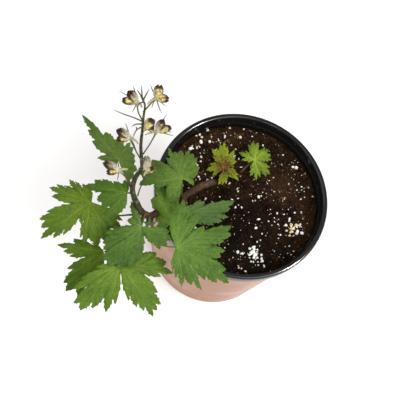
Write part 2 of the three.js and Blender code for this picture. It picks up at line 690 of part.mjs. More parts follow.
/** One cupped sepal: a pointed shell that widens from its base, standing round its cup's axis. */
function sepalSolid(frame, turn, cupRadius) {
  const rows = BLOOM.profile.length - 1;
  const columns = 2;
  const positions = [];
  for (const depth of [0, BLOOM.sepalThickness]) {
    for (let i = 0; i <= rows; i += 1) {
      const u = i / rows;
      const width = THREE.MathUtils.lerp(BLOOM.narrowest, 1, Math.sin(Math.PI * u) ** 0.6);
      const spread = BLOOM.sepalWidth * DEG * width;
      for (let j = 0; j <= columns; j += 1) {
        const angle = turn + spread * (2 * j / columns - 1);
        const radius = Math.max(BLOOM.profile[i] * cupRadius - depth, BLOOM.innermost);
        const spot = frame.base.clone().addScaledVector(frame.ahead, u * frame.length);
        spot.addScaledVector(frame.up, Math.cos(angle) * radius);
        spot.addScaledVector(frame.across, Math.sin(angle) * radius);
        positions.push(...spot.toArray());
      }
    }
  }
  const wide = columns + 1;
  const inner = (rows + 1) * wide;
  const index = [];
  const quad = (a, b, c, d) => index.push(a, b, c, a, c, d);
  for (let i = 0; i < rows; i += 1) {
    for (let j = 0; j < columns; j += 1) {
      const a = i * wide + j;
      quad(a, a + 1, a + 1 + wide, a + wide);
      quad(inner + a, inner + a + wide, inner + a + 1 + wide, inner + a + 1);
    }
    const [left, right] = [i * wide, i * wide + columns];
    quad(left, left + wide, inner + left + wide, inner + left);
    quad(right, inner + right, inner + right + wide, right + wide);
  }
  for (let j = 0; j < columns; j += 1) {
    const last = rows * wide + j;
    quad(j, inner + j, inner + j + 1, j + 1);
    quad(last, last + 1, inner + last + 1, inner + last);
  }
  return toSolid(indexedGeometry(positions, index));
}

/** The closed petals in a cup's heart, which hold its sepals together at their base. */
function heartSolid(frame, cupRadius) {
  const heart = new THREE.SphereGeometry(1, 5, 3);
  const radius = BLOOM.heart * cupRadius;
  heart.scale(radius, frame.length * 0.3, radius);
  const turn = new THREE.Matrix4().makeBasis(frame.across, frame.ahead, frame.up);
  const centre = frame.base.clone().addScaledVector(frame.ahead, frame.length * 0.27);
  heart.applyMatrix4(turn.setPosition(centre));
  return toSolid(heart);
}

/** One cup of a bloom: its heart in a ring of sepals, the first of them on the cup's outer side. */
function cupSolids(frame, radius) {
  const pieces = [heartSolid(frame, radius)];
  for (let i = 0; i < BLOOM.sepals; i += 1) {
    pieces.push(sepalSolid(frame, 2 * Math.PI * i / BLOOM.sepals, radius));
  }
  return pieces;
}

/** A bloom with its two cups, spur, pedicel and bracteoles, cut back to clear the stem. */
function bloomSolid(bloom, stemClearance) {
  const [base, hoodTip, lipTip] = [vec(bloom.base), vec(bloom.hood), vec(bloom.lip)];
  const hood = cupFrame(base, hoodTip, lipTip);
  const lip = cupFrame(base, lipTip, hoodTip);
  const pieces = [...cupSolids(hood, BLOOM.cups.hood), ...cupSolids(lip, BLOOM.cups.lip)];
  const root = base.clone().addScaledVector(hood.ahead, 1).addScaledVector(lip.ahead, 1).toArray();
  const spurMiddle = base.clone().lerp(vec(bloom.spur), 0.5).addScaledVector(hood.up, 0.6).toArray();
  const ends = [...bloom.pedicel.slice(0, -1), bloom.base, root];
  pieces.push(taperedTube([root, spurMiddle, bloom.spur], BLOOM.spurRadii, { sides: 4, steps: 2 }));
  pieces.push(taperedTube(ends, [BLOOM.pedicelRadius, BLOOM.pedicelRadius], { sides: 4, steps: 4 }));
  for (const end of bloom.bracteoles) {
    pieces.push(taperedTube([bloom.base, end], BLOOM.bracteoleRadii, { sides: 3, steps: 1 }));
  }
  return largestBody(fuse(pieces).subtract(stemClearance));
}

// ---------------------------------------------------------------------------------------------
// The whole plant
// ---------------------------------------------------------------------------------------------

function delphinium() {
  const plant = new THREE.Group();
  const stemClearance = taperedTube(STEM.path, STEM.radii, { ...stemOptions, grow: SEAT_GAP });
  const seedlingOptions = { steps: 8, sides: TUBE_SIDES };
  const buried = [{ points: STEM.path, radii: STEM.radii, options: stemOptions }];
  for (const { petiole } of Object.values(SEEDLINGS)) {
    const radii = [PETIOLE_RADIUS * 1.25, PETIOLE_RADIUS, PETIOLE_RADIUS * 0.9];
    buried.push({ points: petiole, radii, options: seedlingOptions });
  }

  plant.add(meshOf('nursery_pot', nurseryPot(), COLOURS.pot, 0.55));
  plant.add(meshOf('potting_soil', pottingSoil(buried), COLOURS.soil, 0.95));
  plant.add(meshOf('flowering_stem', floweringStem(), COLOURS.stem, 0.7));
  for (const [name, leaf] of Object.entries(LEAVES)) {
    plant.add(meshOf(name, leafSolid(leaf, stemClearance), COLOURS.leaf, 0.6));
  }
  plant.add(meshOf('leaf_curled_young', leafSolid(CURLED_LEAF, stemClearance), COLOURS.leafDark, 0.6));
  plant.add(meshOf('seedling_bronze', leafSolid(SEEDLINGS.seedling_bronze, null), COLOURS.bronze, 0.6));
  plant.add(meshOf('seedling_green', leafSolid(SEEDLINGS.seedling_green, null), COLOURS.seedling, 0.6));
  for (const [name, bloom] of Object.entries(BLOOMS)) {
    plant.add(meshOf(name, bloomSolid(bloom, stemClearance), COLOURS.bloom, 0.6));
  }
  return plant;
}

export default delphinium();
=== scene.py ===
"""A young delphinium in its round two-tone nursery pot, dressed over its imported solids.

The pot, the soil, the leaning stem, the cut leaves, the opening blooms and the two seedlings each have a
class that builds their fine meshes and dresses them. Every piece takes the place of a solid, and the soil's
loose matter is added. Sizes are millimetres until a mesh is made, which is in metres.
"""

import logging
import math
from dataclasses import dataclass
from enum import Enum
from typing import Iterator, Sequence

import bpy
import numpy as np
from mathutils import Matrix, Vector, noise
from mathutils.geometry import delaunay_2d_cdt


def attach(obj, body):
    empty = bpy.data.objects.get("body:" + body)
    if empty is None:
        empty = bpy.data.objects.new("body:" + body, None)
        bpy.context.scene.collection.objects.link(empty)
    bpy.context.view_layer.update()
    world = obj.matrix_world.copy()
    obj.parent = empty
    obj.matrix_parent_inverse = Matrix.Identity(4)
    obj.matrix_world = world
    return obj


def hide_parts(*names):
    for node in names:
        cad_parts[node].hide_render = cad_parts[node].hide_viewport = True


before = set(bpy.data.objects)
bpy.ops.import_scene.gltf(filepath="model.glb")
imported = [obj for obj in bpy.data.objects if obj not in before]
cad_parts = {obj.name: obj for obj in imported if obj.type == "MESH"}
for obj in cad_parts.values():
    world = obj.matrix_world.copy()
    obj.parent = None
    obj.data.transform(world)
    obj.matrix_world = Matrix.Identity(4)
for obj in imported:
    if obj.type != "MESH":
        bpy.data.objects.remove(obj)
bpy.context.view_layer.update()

MM = 0.001
BODY = "root"

Point = tuple[float, float, float]
Array = np.ndarray
Link = bpy.types.NodeSocket
Material = bpy.types.Material
Object = bpy.types.Object

norm = np.linalg.norm
log = logging.getLogger("delphinium")


# ---- Numbers and curves ----


def seeded_draw(seed: int) -> Iterator[float]:
    """A repeatable run of numbers from 0 to 1.

    Args:
        seed: Which run it is.

    Returns:
        An endless iterator of the numbers.
    """
    mask = 0xFFFFFFFF
    state = seed * 2654435761 & mask
    while True:
        state = state + 0x6D2B79F5 & mask
        mixed = (state ^ state >> 15) * (state | 1) & mask
        mixed ^= mixed + ((mixed ^ mixed >> 7) * (mixed | 61) & mask) & mask
        yield ((mixed ^ mixed >> 14) & mask) / 2**32


def smooth_path(points: Sequence[Point], steps: int) -> Array:
    """Follows a smooth centripetal curve through points.

    Args:
        points: What the curve passes through, in mm.
        steps: How many stretches the curve is cut into.

    Returns:
        The points along the curve, one row each.
    """
    known = np.array(points, float)
    reached = np.vstack([2 * known[0] - known[1], known, 2 * known[-1] - known[-2]])
    spans = len(known) - 1
    rows = []
    for place in np.linspace(0, spans, steps + 1):
        span = min(int(place), spans - 1)
        t = place - span
        before, start, end, after = reached[span:span + 4]
        pairs = ((before, start), (start, end), (end, after))
        gaps = [max(norm(b - a) ** 0.5, 1e-6) for a, b in pairs]
        leave = (start - before) / gaps[0] - (end - before) / (gaps[0] + gaps[1]) + (end - start) / gaps[1]
        arrive = (end - start) / gaps[1] - (after - start) / (gaps[1] + gaps[2]) + (after - end) / gaps[2]
        leave, arrive = leave * gaps[1], arrive * gaps[1]
        bend = -3 * start + 3 * end - 2 * leave - arrive
        twist = 2 * start - 2 * end + leave + arrive
        rows.append(start + t * (leave + t * (bend + t * twist)))
    return np.array(rows)


def soft_noise(spots: Array, size: float, seed: float) -> Array:
    """Smooth noise from about -1 to 1 at each spot.

    Args:
        spots: Rows of two or three coordinates, in mm.
        size: How wide the noise's swells are, in mm.
        seed: Moves the pattern.

    Returns:
        One value for each spot.
    """
    flat = np.zeros((len(spots), 3))
    flat[:, :spots.shape[1]] = spots
    moved = flat / size + np.array([seed * 7.13, seed * 3.71, seed * 1.97])
    return np.array([noise.noise(Vector(row)) for row in moved])


def inside_loop(spots: Array, loop: Array) -> Array:
    """Tells which flat spots lie inside a closed loop.

    Args:
        spots: Rows of x and y.
        loop: The loop's corners in order.

    Returns:
        True for each spot inside.
    """
    start, end = loop, np.roll(loop, -1, axis=0)
    x, y = spots[:, :1], spots[:, 1:2]
    crosses = (start[:, 1] > y) != (end[:, 1] > y)
    rise = np.where(end[:, 1] == start[:, 1], 1e-12, end[:, 1] - start[:, 1])
    meets = x < (end[:, 0] - start[:, 0]) * (y - start[:, 1]) / rise + start[:, 0]
    return (crosses & meets).sum(axis=1) % 2 == 1


def distance_to_line(spots: Array, line: Array) -> tuple[Array, Array]:
    """Measures how far flat spots lie from a run of straight stretches.

    Args:
        spots: Rows of x and y.
        line: The run's points in order.

    Returns:
        The distance of each spot, and how far along the run its nearest point is, from 0 to 1.
    """
    start, step = line[:-1], np.diff(line, axis=0)
    away = spots[:, None, :] - start[None, :, :]
    share = np.clip((away * step).sum(axis=2) / np.maximum((step**2).sum(axis=1), 1e-12), 0, 1)
    gap = norm(away - share[:, :, None] * step, axis=2)
    nearest = gap.argmin(axis=1)
    rows = np.arange(len(spots))
    return gap[rows, nearest], (nearest + share[rows, nearest]) / len(step)


def even_steps(line: Array, step: float) -> Array:
    """Lays points along a run at an even spacing, its two ends included.

    Args:
        line: The run's points, one row each.
        step: The spacing.

    Returns:
        The points laid, one row each.
    """
    lengths = np.r_[0, np.cumsum(norm(np.diff(line, axis=0), axis=1))]
    count = max(2, int(round(lengths[-1] / step)) + 1)
    places = np.linspace(0, lengths[-1], count)
    return np.column_stack([np.interp(places, lengths, line[:, axis]) for axis in range(line.shape[1])])


def honeycomb(low: Array, high: Array, pitch: float) -> Array:
    """Points of an even triangular net over a flat box."""
    rows, columns = np.arange(low[1], high[1], pitch * 3**0.5 / 2), np.arange(low[0], high[0], pitch)
    return np.array([(x + pitch / 2 * (i % 2), y) for i, y in enumerate(rows) for x in columns])


# ---- Node trees ----


class Signal:
    """A number in a node tree, on which Python's operators build Math nodes."""

    def __init__(self, tree: "NodeTree", socket: Link) -> None:
        """Wraps a socket of a tree."""
        self.tree = tree
        self.socket = socket

    def _math(self, operation: str, *values: "Signal | float") -> "Signal":
        """Adds one Math node.

        Args:
            operation: What the node works out.
            values: Its inputs in order.

        Returns:
            The node's result.
        """
        node = self.tree.node("ShaderNodeMath", {"operation": operation}, dict(enumerate(values)))
        return Signal(self.tree, node.outputs[0])

    def __add__(self, other: "Signal | float") -> "Signal":
        """The sum."""
        return self._math("ADD", self, other)

    def __sub__(self, other: "Signal | float") -> "Signal":
        """The difference."""
        return self._math("SUBTRACT", self, other)

    def __rsub__(self, other: float) -> "Signal":
        """The difference from a plain number."""
        return self._math("SUBTRACT", other, self)

    def __mul__(self, other: "Signal | float") -> "Signal":
        """The product."""
        return self._math("MULTIPLY", self, other)

    def __pow__(self, other: "Signal | float") -> "Signal":
        """The power."""
        return self._math("POWER", self, other)

    __radd__ = __add__
    __rmul__ = __mul__

    def wave(self) -> "Signal":
        """The sine."""
        return self._math("SINE", self)

    def between(self, low: float, high: float) -> "Signal":
        """How far the number has gone between two others.

        Args:
            low: Where the way starts.
            high: Where it ends.

        Returns:
            The eased share, from 0 to 1.
        """
        sockets = {0: self, 1: low, 2: high, 3: 0.0, 4: 1.0}
        node = self.tree.node("ShaderNodeMapRange", {"interpolation_type": "SMOOTHSTEP"}, sockets)
        return Signal(self.tree, node.outputs[0])


class NodeTree:
    """A node tree in the making: every node comes from its one node method."""

    def __init__(self, tree: bpy.types.NodeTree) -> None:
        """Takes an empty tree."""
        self.tree = tree

    def node(self, kind: str, settings: dict | None = None, sockets: dict | None = None) -> bpy.types.Node:
        """Adds a node.

        Args:
            kind: The node's type.
            settings: Its options, which are set first.
            sockets: Values or links of its inputs, by name or number.

        Returns:
            The node.
        """
        node = self.tree.nodes.new(kind)
        for name, value in (settings or {}).items():
            setattr(node, name, value)
        for key, value in (sockets or {}).items():
            self.feed(node.inputs[key], value)
        return node

    def feed(self, socket: Link, value: object) -> None:
        """Gives an input a link or a plain value.

        Args:
            socket: The input.
            value: What it is given.
        """
        if isinstance(value, Signal):
            value = value.socket
        if isinstance(value, bpy.types.NodeSocket):
            self.tree.links.new(value, socket)
        else:
            socket.default_value = value


# ---- Finishes ----


@dataclass(frozen=True)
class Shade:
    """A colour as a maker would mix it: red, green and blue from 0 to 255."""

    red: int
    green: int
    blue: int

    @property
    def rgba(self) -> tuple[float, float, float, float]:
        """The colour as light.

        Returns:
            Its linear parts, and full cover.
        """
        light = [((v / 255 + 0.055) / 1.055) ** 2.4 if v > 10 else v / 255 / 12.92
                 for v in (self.red, self.green, self.blue)]
        return (*light, 1.0)

    def toned(self, red: float, green: float, blue: float) -> "Shade":
        """The colour with each part raised or lowered by a factor."""
        parts = zip((self.red, self.green, self.blue), (red, green, blue))
        return Shade(*(min(255, round(value * factor)) for value, factor in parts))


class Finish(NodeTree):
    """One material in the making, with the patterns that the finishes share."""

    def __init__(self, name: str) -> None:
        """Starts an empty material.

        Args:
            name: The material's name.
        """
        self.material = bpy.data.materials.new(name)
        self.material.use_nodes = True
        self.material.node_tree.nodes.clear()
        super().__init__(self.material.node_tree)
        self.where = self.node("ShaderNodeTexCoord").outputs["Object"]

    def trait(self, name: str) -> Signal:
        """A number that the mesh carries at each corner."""
        return Signal(self, self.node("ShaderNodeAttribute", {"attribute_name": name}).outputs["Fac"])

    def stretched(self, along: Point) -> Link:
        """The surface's place with each axis scaled."""
        return self.node("ShaderNodeMapping", {}, {"Vector": self.where, "Scale": along}).outputs[0]

    def grain(self, size: float, detail: float = 2.0, rough: float = 0.5, at: Link | None = None) -> Signal:
        """Cloudy noise.

        Args:
            size: How wide its swells are, in mm.
            detail: How many finer layers it has.
            rough: How strong those are.
            at: Where it is read, if not at the surface's own place.

        Returns:
            The noise, from 0 to 1.
        """
        sockets = {"Vector": at or self.where, "Scale": 1 / (size * MM), "Detail": detail, "Roughness": rough}
        return Signal(self, self.node("ShaderNodeTexNoise", {}, sockets).outputs["Fac"])

    def net(self, size: float) -> Signal:
        """The distance from the walls of a net of cells.

        Args:
            size: How wide a cell is, in mm.

        Returns:
            The distance, in cells.
        """
        sockets = {"Vector": self.where, "Scale": 1 / (size * MM)}
        cells = self.node("ShaderNodeTexVoronoi", {"feature": "DISTANCE_TO_EDGE"}, sockets)
        return Signal(self, cells.outputs[0])

    def place(self, axis: str) -> Signal:
        """The place along an axis, in metres."""
        return Signal(self, self.node("ShaderNodeSeparateXYZ", {}, {0: self.where}).outputs[axis])

    def mix(self, first: "Shade | Link", second: "Shade | Link", share: Signal) -> Link:
        """A colour between two, by a share of the second.

        Args:
            first: The colour at a share of 0.
            second: The colour at a share of 1.
            share: The share.

        Returns:
            The mixed colour.
        """
        node = self.node("ShaderNodeMix", {"data_type": "RGBA", "clamp_factor": True})
        for socket, colour in ((node.inputs[6], first), (node.inputs[7], second)):
            self.feed(socket, colour.rgba if isinstance(colour, Shade) else colour)
        self.feed(node.inputs[0], share)
        return node.outputs[2]

    def relief(self, height: Signal, depth: float, under: Link | None = None) -> Link:
        """A bump of a depth in mm, over another one where there is one.

        Args:
            height: How far the surface stands out, from 0 to 1.
            depth: What 1 stands for.
            under: The bump that it lies over.

        Returns:
            The bumped normal.
        """
        sockets = {"Height": height, "Distance": depth * MM, "Strength": 1.0}
        if under is not None:
            sockets["Normal"] = under
        return self.node("ShaderNodeBump", {}, sockets).outputs[0]

    def done(self, colour: Link, roughness: "Signal | float", normal: Link | None = None,
             **fixed: float) -> Material:
        """Closes the material.

        Args:
            colour: The base colour.
            roughness: How dull the surface is.
            normal: Its relief.
            fixed: Other sockets of the shader, by name with underscores, each the same all over.

        Returns:
            The material.
        """
        sockets = {"Base Color": colour, "Roughness": roughness}
        sockets |= {name.replace("_", " "): value for name, value in fixed.items()}
        if normal is not None:
            sockets["Normal"] = normal
        shader = self.node("ShaderNodeBsdfPrincipled", {}, sockets)
        self.node("ShaderNodeOutputMaterial", {}, {"Surface": shader.outputs[0]})
        return self.material


@dataclass(frozen=True)
class BlackRim:
    """Moulded black plastic of the pot's lip, skirt and inside, with scuffs and a film of dust."""

    deep: Shade = Shade(21, 20, 20)
    worn: Shade = Shade(26, 27, 29)
    dust: Shade = Shade(58, 55, 50)

    def make(self) -> Material:
        """Builds the material.

        Returns:
            The material.
        """
        skin = Finish("black_rim_plastic")
        scuffs = skin.grain(2.2, 4, 0.65, skin.stretched((0.25, 0.25, 1.6)))
        film = skin.grain(26, 3)
        colour = skin.mix(self.deep, self.worn, scuffs.between(0.45, 0.8) * 0.55)
        colour = skin.mix(colour, self.dust, film.between(0.52, 0.8) * scuffs.between(0.4, 0.7) * 0.2)
        pores = skin.grain(0.6, 2)
        relief = skin.relief(pores * 0.6 + scuffs * 0.4, 0.05)
        return skin.done(colour, 0.06 + scuffs * 0.12 + film * 0.05, relief, Specular_IOR_Level=0.3)


@dataclass(frozen=True)
class DustyPinkWall:
    """Matt terracotta-pink plastic of the pot's outer wall: paler clouds, warmer rubs, painted light on its
    +X side.
    """

    main: Shade = Shade(168, 124, 103)
    warm: Shade = Shade(160, 110, 86)
    pale: Shade = Shade(198, 168, 156)
    splash: Shade = Shade(120, 92, 74)

    def make(self) -> Material:
        """Builds the material.

        Returns:
            The material.
        """
        skin = Finish("dusty_pink_wall_plastic")
        cloud = skin.grain(38, 3)
        rubs = skin.grain(5, 4, 0.6, skin.stretched((1, 1, 0.3)))
        # Painted light: the wall is mixed towards its pale colour on its +X side, where the light falls.
        sunlit = skin.place("X").between(-0.01, 0.05)
        colour = skin.mix(self.main, self.pale, cloud.between(0.45, 0.8) * 0.5 + sunlit)
        colour = skin.mix(colour, self.warm, rubs.between(0.5, 0.8) * 0.5)
        specks = skin.net(2.6).between(0.16, 0.0) * skin.grain(9, 2).between(0.6, 0.75)
        near_ground = skin.place("Z").between(0.045, 0.0)
        colour = skin.mix(colour, self.splash, specks * (0.15 + near_ground * 0.55))
        pores = skin.grain(0.8, 3)
        return skin.done(colour, 0.55 + rubs * 0.15, skin.relief(pores + rubs * 0.6, 0.06))


@dataclass(frozen=True)
class DampPeat:
    """Dark damp potting mix: peat crumbs from near black to chestnut, blackest round one spot."""

    black: Shade = Shade(9, 6, 4)
    brown: Shade = Shade(52, 34, 21)
    chestnut: Shade = Shade(98, 70, 46)
    blackened_spot: tuple[float, float] = (5.0, -38.0)

    def make(self, name: str, lift: float) -> Material:
        """Builds the material.

        Args:
            name: The material's name.
            lift: How much of each crumb's own shade shows.

        Returns:
            The material.
        """
        skin = Finish(name)
        patch, crumb = skin.grain(17, 3, 0.6), skin.grain(1.7, 4, 0.7)
        colour = skin.mix(self.black, self.brown, (patch * 0.7 + crumb * 1.2).between(0.78, 1.12))
        own = skin.trait("shade") ** 3.0 * lift
        colour = skin.mix(colour, self.chestnut, own + crumb.between(0.6, 0.78) * 0.4)
        # The mix is blackened within about 30 to 60 mm of one spot.
        x, y = (skin.place(axis) - middle * MM for axis, middle in zip("XY", self.blackened_spot))
        blackening = (x * x + y * y + (patch - 0.5) * 0.003).between(0.004, 0.001)
        colour = skin.mix(colour, self.black, blackening * 0.65)
        pits = skin.grain(0.7, 3, 0.7)
        relief = skin.relief(crumb + pits * 0.7, 0.5)
        return skin.done(colour, 0.78 + crumb * 0.2, relief, Specular_IOR_Level=0.02)


@dataclass(frozen=True)
class WhitePerlite:
    """Light porous grains, from clean white to stained straw."""

    white: Shade = Shade(244, 241, 232)
    straw: Shade = Shade(216, 196, 148)
    pit: Shade = Shade(168, 154, 130)

    def make(self) -> Material:
        """Builds the material.

        Returns:
            The material.
        """
        skin = Finish("white_perlite")
        pores = skin.grain(0.5, 3, 0.7)
        colour = skin.mix(self.white, self.straw, skin.trait("shade").between(0.62, 1.0))
        colour = skin.mix(colour, self.pit, pores.between(0.62, 0.8) * 0.7)
        return skin.done(colour, 0.9, skin.relief(pores, 0.25))


@dataclass(frozen=True)
class BarkFibre:
    """Dry brown root hairs and bark splinters."""

    dark: Shade = Shade(58, 40, 26)
    light: Shade = Shade(140, 108, 76)

    def make(self) -> Material:
        """Builds the material.

        Returns:
            The material.
        """
        skin = Finish("bark_fibre")
        streak = skin.grain(1.2, 3, 0.6)
        shade = skin.trait("shade") * 0.7 + streak * 0.4
        colour = skin.mix(self.dark, self.light, shade.between(0.25, 0.95))
        return skin.done(colour, 0.85, skin.relief(streak, 0.2), Specular_IOR_Level=0.02)


@dataclass(frozen=True)
class StemSkin:
    """The main stem's ribbed downy skin: corky at its foot, russet to its crook, then grey olive, then green.

    Each span is the height in mm from where a colour gives way to the next to where it is gone.
    """

    cork: Shade = Shade(84, 62, 46)
    russet: Shade = Shade(76, 48, 34)
    olive: Shade = Shade(60, 58, 38)
    green: Shade = Shade(74, 76, 38)
    plum: Shade = Shade(34, 27, 24)
    fleck: Shade = Shade(140, 144, 104)
    russet_span: tuple[float, float] = (150.0, 162.0)
    olive_span: tuple[float, float] = (182.0, 196.0)
    green_span: tuple[float, float] = (260.0, 285.0)
    plum_span: tuple[float, float] = (150.0, 200.0)
    fleck_span: tuple[float, float] = (180.0, 200.0)

    def make(self) -> Material:
        """Builds the material.

        Returns:
            The material.
        """
        skin = Finish("ribbed_stem_skin")
        streak = skin.grain(1.1, 4, 0.6, skin.stretched((1, 1, 0.18)))
        patch = skin.grain(12, 2)
        up = skin.place("Z") + (patch - 0.5) * 0.012
        spans = (self.russet_span, self.olive_span, self.green_span, self.plum_span, self.fleck_span)
        russet, olive, green, plum, fleck = (up.between(low * MM, high * MM) for low, high in spans)
        colour = skin.mix(self.cork, self.russet, russet)
        colour = skin.mix(colour, self.olive, olive)
        colour = skin.mix(colour, self.green, green)
        colour = skin.mix(colour, self.plum, streak.between(0.42, 0.62) * (plum * 0.35 + 0.5))
        flecks = skin.grain(2.2, 3, 0.7, skin.stretched((1, 1, 0.45)))
        colour = skin.mix(colour, self.fleck, flecks.between(0.54, 0.68) * (fleck * 0.45 + 0.3))
        return skin.done(colour, 0.55 + streak * 0.2, skin.relief(streak, 0.6), Specular_IOR_Level=0.06)


@dataclass(frozen=True)
class StalkSkin:
    """A petiole's or pedicel's smooth skin, flushed where it leaves the stem."""

    foot: Shade
    green: Shade

    def make(self, name: str) -> Material:
        """Builds the material under a name.

        Args:
            name: The material's name.

        Returns:
            The material.
        """
        skin = Finish(name)
        streak = skin.grain(0.9, 3, 0.6)
        colour = skin.mix(self.foot, self.green, (skin.trait("along") + streak * 0.3).between(0.15, 0.75))
        return skin.done(colour, 0.5, skin.relief(streak, 0.12), Specular_IOR_Level=0.08)


@dataclass(frozen=True)
class LeafSkin:
    """A leaf's two faces: satin green above with pale veins, and paler and duller beneath.

    heart and nerve are the colours round the hub and of the veins, where they aren't tones of the green, and
    flush is how strongly the heart shows.
    """

    green: Shade
    heart: Shade | None = None
    nerve: Shade | None = None
    flush: float = 0.6
    gloss: float = 0.5

    @property
    def deep(self) -> Shade:
        """The darker green of its mottles."""
        return self.green.toned(0.75, 0.79, 0.77)

    @property
    def furrow_shade(self) -> Shade:
        """The colour of the painted shade in its creases and the furrows beside its veins."""
        return self.heart or self.deep.toned(0.85, 0.85, 0.85)

    @property
    def fresh(self) -> Shade:
        """The colour round its hub."""
        return self.heart or self.green.toned(1.2, 1.13, 1.12)

    @property
    def vein(self) -> Shade:
        """The paler colour of its veins."""
        return self.nerve or self.green.toned(1.5, 1.36, 1.8)

    @property
    def pale(self) -> Shade:
        """The greyer green of its under face."""
        green = (self.green.red, self.green.green, self.green.blue)
        return Shade(*(min(255, int(value * 0.72 + 52)) for value in green))

    def upper(self, name: str) -> Material:
        """Builds the upper face's material under a name.

        Args:
            name: The material's name.

        Returns:
            The material.
        """
        skin = Finish(name)
        cloud, mottle = skin.grain(13, 3), skin.grain(1.9, 3, 0.6)
        veins, spread = skin.trait("vein"), skin.trait("spread")
        cells = skin.net(1.5)
        colour = skin.mix(self.deep, self.green, (cloud * 0.8 + mottle * 0.8).between(0.55, 0.95))
        heart = (spread.between(0.7, 0.0) + (mottle - 0.5) * 2.2) * self.flush
        colour = skin.mix(colour, self.fresh, heart)
        # Painted shade: the creases between the lobes and the furrows beside the veins are darkened.
        colour = skin.mix(colour, self.furrow_shade, skin.trait("crease_shade") * 0.65)
        lines = veins * spread.between(1.2, 0.1) * 0.6 + cells.between(0.1, 0.0) * 0.12
        colour = skin.mix(colour, self.vein, lines)
        relief = skin.relief(cells.between(0.0, 0.35) + mottle * 0.5, 0.35)
        return skin.done(colour, self.gloss + mottle * 0.14, relief, Specular_IOR_Level=0.06)

    def lower(self, name: str) -> Material:
        """Builds the under face's material under a name.

        Args:
            name: The material's name.

        Returns:
            The material.
        """
        skin = Finish(name)
        cloud, cells = skin.grain(10, 3), skin.net(1.5)
        colour = skin.mix(self.pale, self.green, cloud.between(0.3, 0.8) * 0.5)
        colour = skin.mix(colour, self.vein, skin.trait("vein") * 0.7 + cells.between(0.08, 0.0) * 0.2)
        return skin.done(colour, 0.72, skin.relief(cells.between(0.3, 0.0), 0.12), Specular_IOR_Level=0.15)


@dataclass(frozen=True)
class SepalSkin:
    """Sepals of the opening blooms: grey-buff backs, straw yellow lips and dark brown tips."""

    smoke: Shade = Shade(216, 208, 184)
    dusk: Shade = Shade(104, 92, 70)
    cream: Shade = Shade(208, 198, 134)
    lime: Shade = Shade(178, 182, 104)
    tan: Shade = Shade(134, 80, 44)
    tip: Shade = Shade(54, 32, 26)

    def make(self) -> Material:
        """Builds the material.

        Returns:
            The material.
        """
        skin = Finish("downy_sepals")
        reach, pale, dark = skin.trait("reach"), skin.trait("pale"), skin.trait("dark")
        streak, cloud, blot = skin.grain(0.8, 3, 0.6), skin.grain(2.2, 2), skin.grain(1.8, 2, 0.6)
        smudge = streak * 0.9 + reach * 0.4 + cloud * 0.3
        colour = skin.mix(self.smoke, self.dusk, smudge.between(0.58, 0.98))
        yellow = skin.mix(self.cream, self.lime, cloud.between(0.4, 0.65))
        yellow = skin.mix(yellow, self.tan, blot.between(0.47, 0.6) * 0.8 + dark * 0.6)
        colour = skin.mix(colour, yellow, pale)
        # The dark trait carries the sepals' own dark tips and margins and the painted shade in the hood's
        # mouth.
        colour = skin.mix(colour, self.tip, dark + pale * blot.between(0.62, 0.74) * 0.5)
        return skin.done(colour, 0.66, skin.relief(streak, 0.15), Specular_IOR_Level=0.1)


@dataclass(frozen=True)
class Down:
    """Short silvery hairs."""

    silver: Shade = Shade(140, 137, 114)
    straw: Shade = Shade(104, 100, 76)

    def make(self) -> Material:
        """Builds the material.

        Returns:
            The material.
        """
        skin = Finish("silver_down")
        colour = skin.mix(self.silver, self.straw, skin.grain(2, 2))
        return skin.done(colour, 0.6, Specular_IOR_Level=0.15)


# ---- Meshes ----


@dataclass
class Sheet:
    """Loose mesh data in mm: corners, faces, the skin of each face and the traits of each corner."""

    corners: Array
    faces: list[tuple[int, ...]]
    skins: list[int]
    traits: dict[str, Array]


def in_scene(thing: Object) -> Object:
    """Puts an object in the scene and gives it back."""
    bpy.context.scene.collection.objects.link(thing)
    return thing


def make_object(name: str, sheet: Sheet, skins: Sequence[Material],
                crease: float = 45) -> Object:
    """Makes a mesh object, smooth except where faces meet sharply.

    Args:
        name: The object's name.
        sheet: The mesh data.
        skins: The materials that the faces' skins number.
        crease: The angle in degrees over which an edge stays sharp.

    Returns:
        The object, in the scene.
    """
    mesh = bpy.data.meshes.new(name)
    mesh.from_pydata((sheet.corners * MM).tolist(), [], sheet.faces)
    mesh.polygons.foreach_set("material_index", sheet.skins)
    for trait, values in sheet.traits.items():
        held = mesh.attributes.new(trait, "FLOAT", "POINT")
        held.data.foreach_set("value", np.asarray(values, np.float32))
    for skin in skins:
        mesh.materials.append(skin)
    mesh.shade_smooth()
    mesh.set_sharp_from_angle(angle=math.radians(crease))
    mesh.update()
    return in_scene(bpy.data.objects.new(name, mesh))


def join(name: str, pieces: Sequence[Object]) -> Object:
    """Joins mesh objects into the first and names it.

    Args:
        name: The name.
        pieces: The objects.

    Returns:
        The one object.
    """
    with bpy.context.temp_override(active_object=pieces[0], selected_editable_objects=list(pieces)):
        bpy.ops.object.join()
    pieces[0].name = name
    pieces[0].data.name = name
    return pieces[0]


def seat(piece: Object, slot: str, *nodes: str) -> None:
    """Rides a piece on the plant, hides the solids it stands for, and reports it.

    Args:
        piece: The piece.
        slot: The material slot that it takes its finish from; not used.
        nodes: The solids that it replaces.
    """
    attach(piece, BODY)
    if nodes:
        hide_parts(*nodes)
    log.info("%s: %d faces", piece.name, len(piece.data.polygons))


def vertex_normals(corners: Array, faces: Array) -> Array:
    """The mean normal at each corner of a triangle mesh.

    Args:
        corners: The corners.
        faces: The triangles.

    Returns:
        One normal a corner.
    """
    start, left, right = (corners[faces[:, column]] for column in range(3))
    across = np.cross(left - start, right - start)
    sums = np.zeros_like(corners)
    for column in range(3):
        np.add.at(sums, faces[:, column], across)
    return sums / np.maximum(norm(sums, axis=1, keepdims=True), 1e-12)


def rim_edges(faces: Array) -> list[tuple[int, int]]:
    """The edges that only one triangle has, in that triangle's direction."""
    known = set(map(tuple, np.vstack([faces[:, [0, 1]], faces[:, [1, 2]], faces[:, [2, 0]]]).tolist()))
    return [(a, b) for a, b in known if (b, a) not in known]


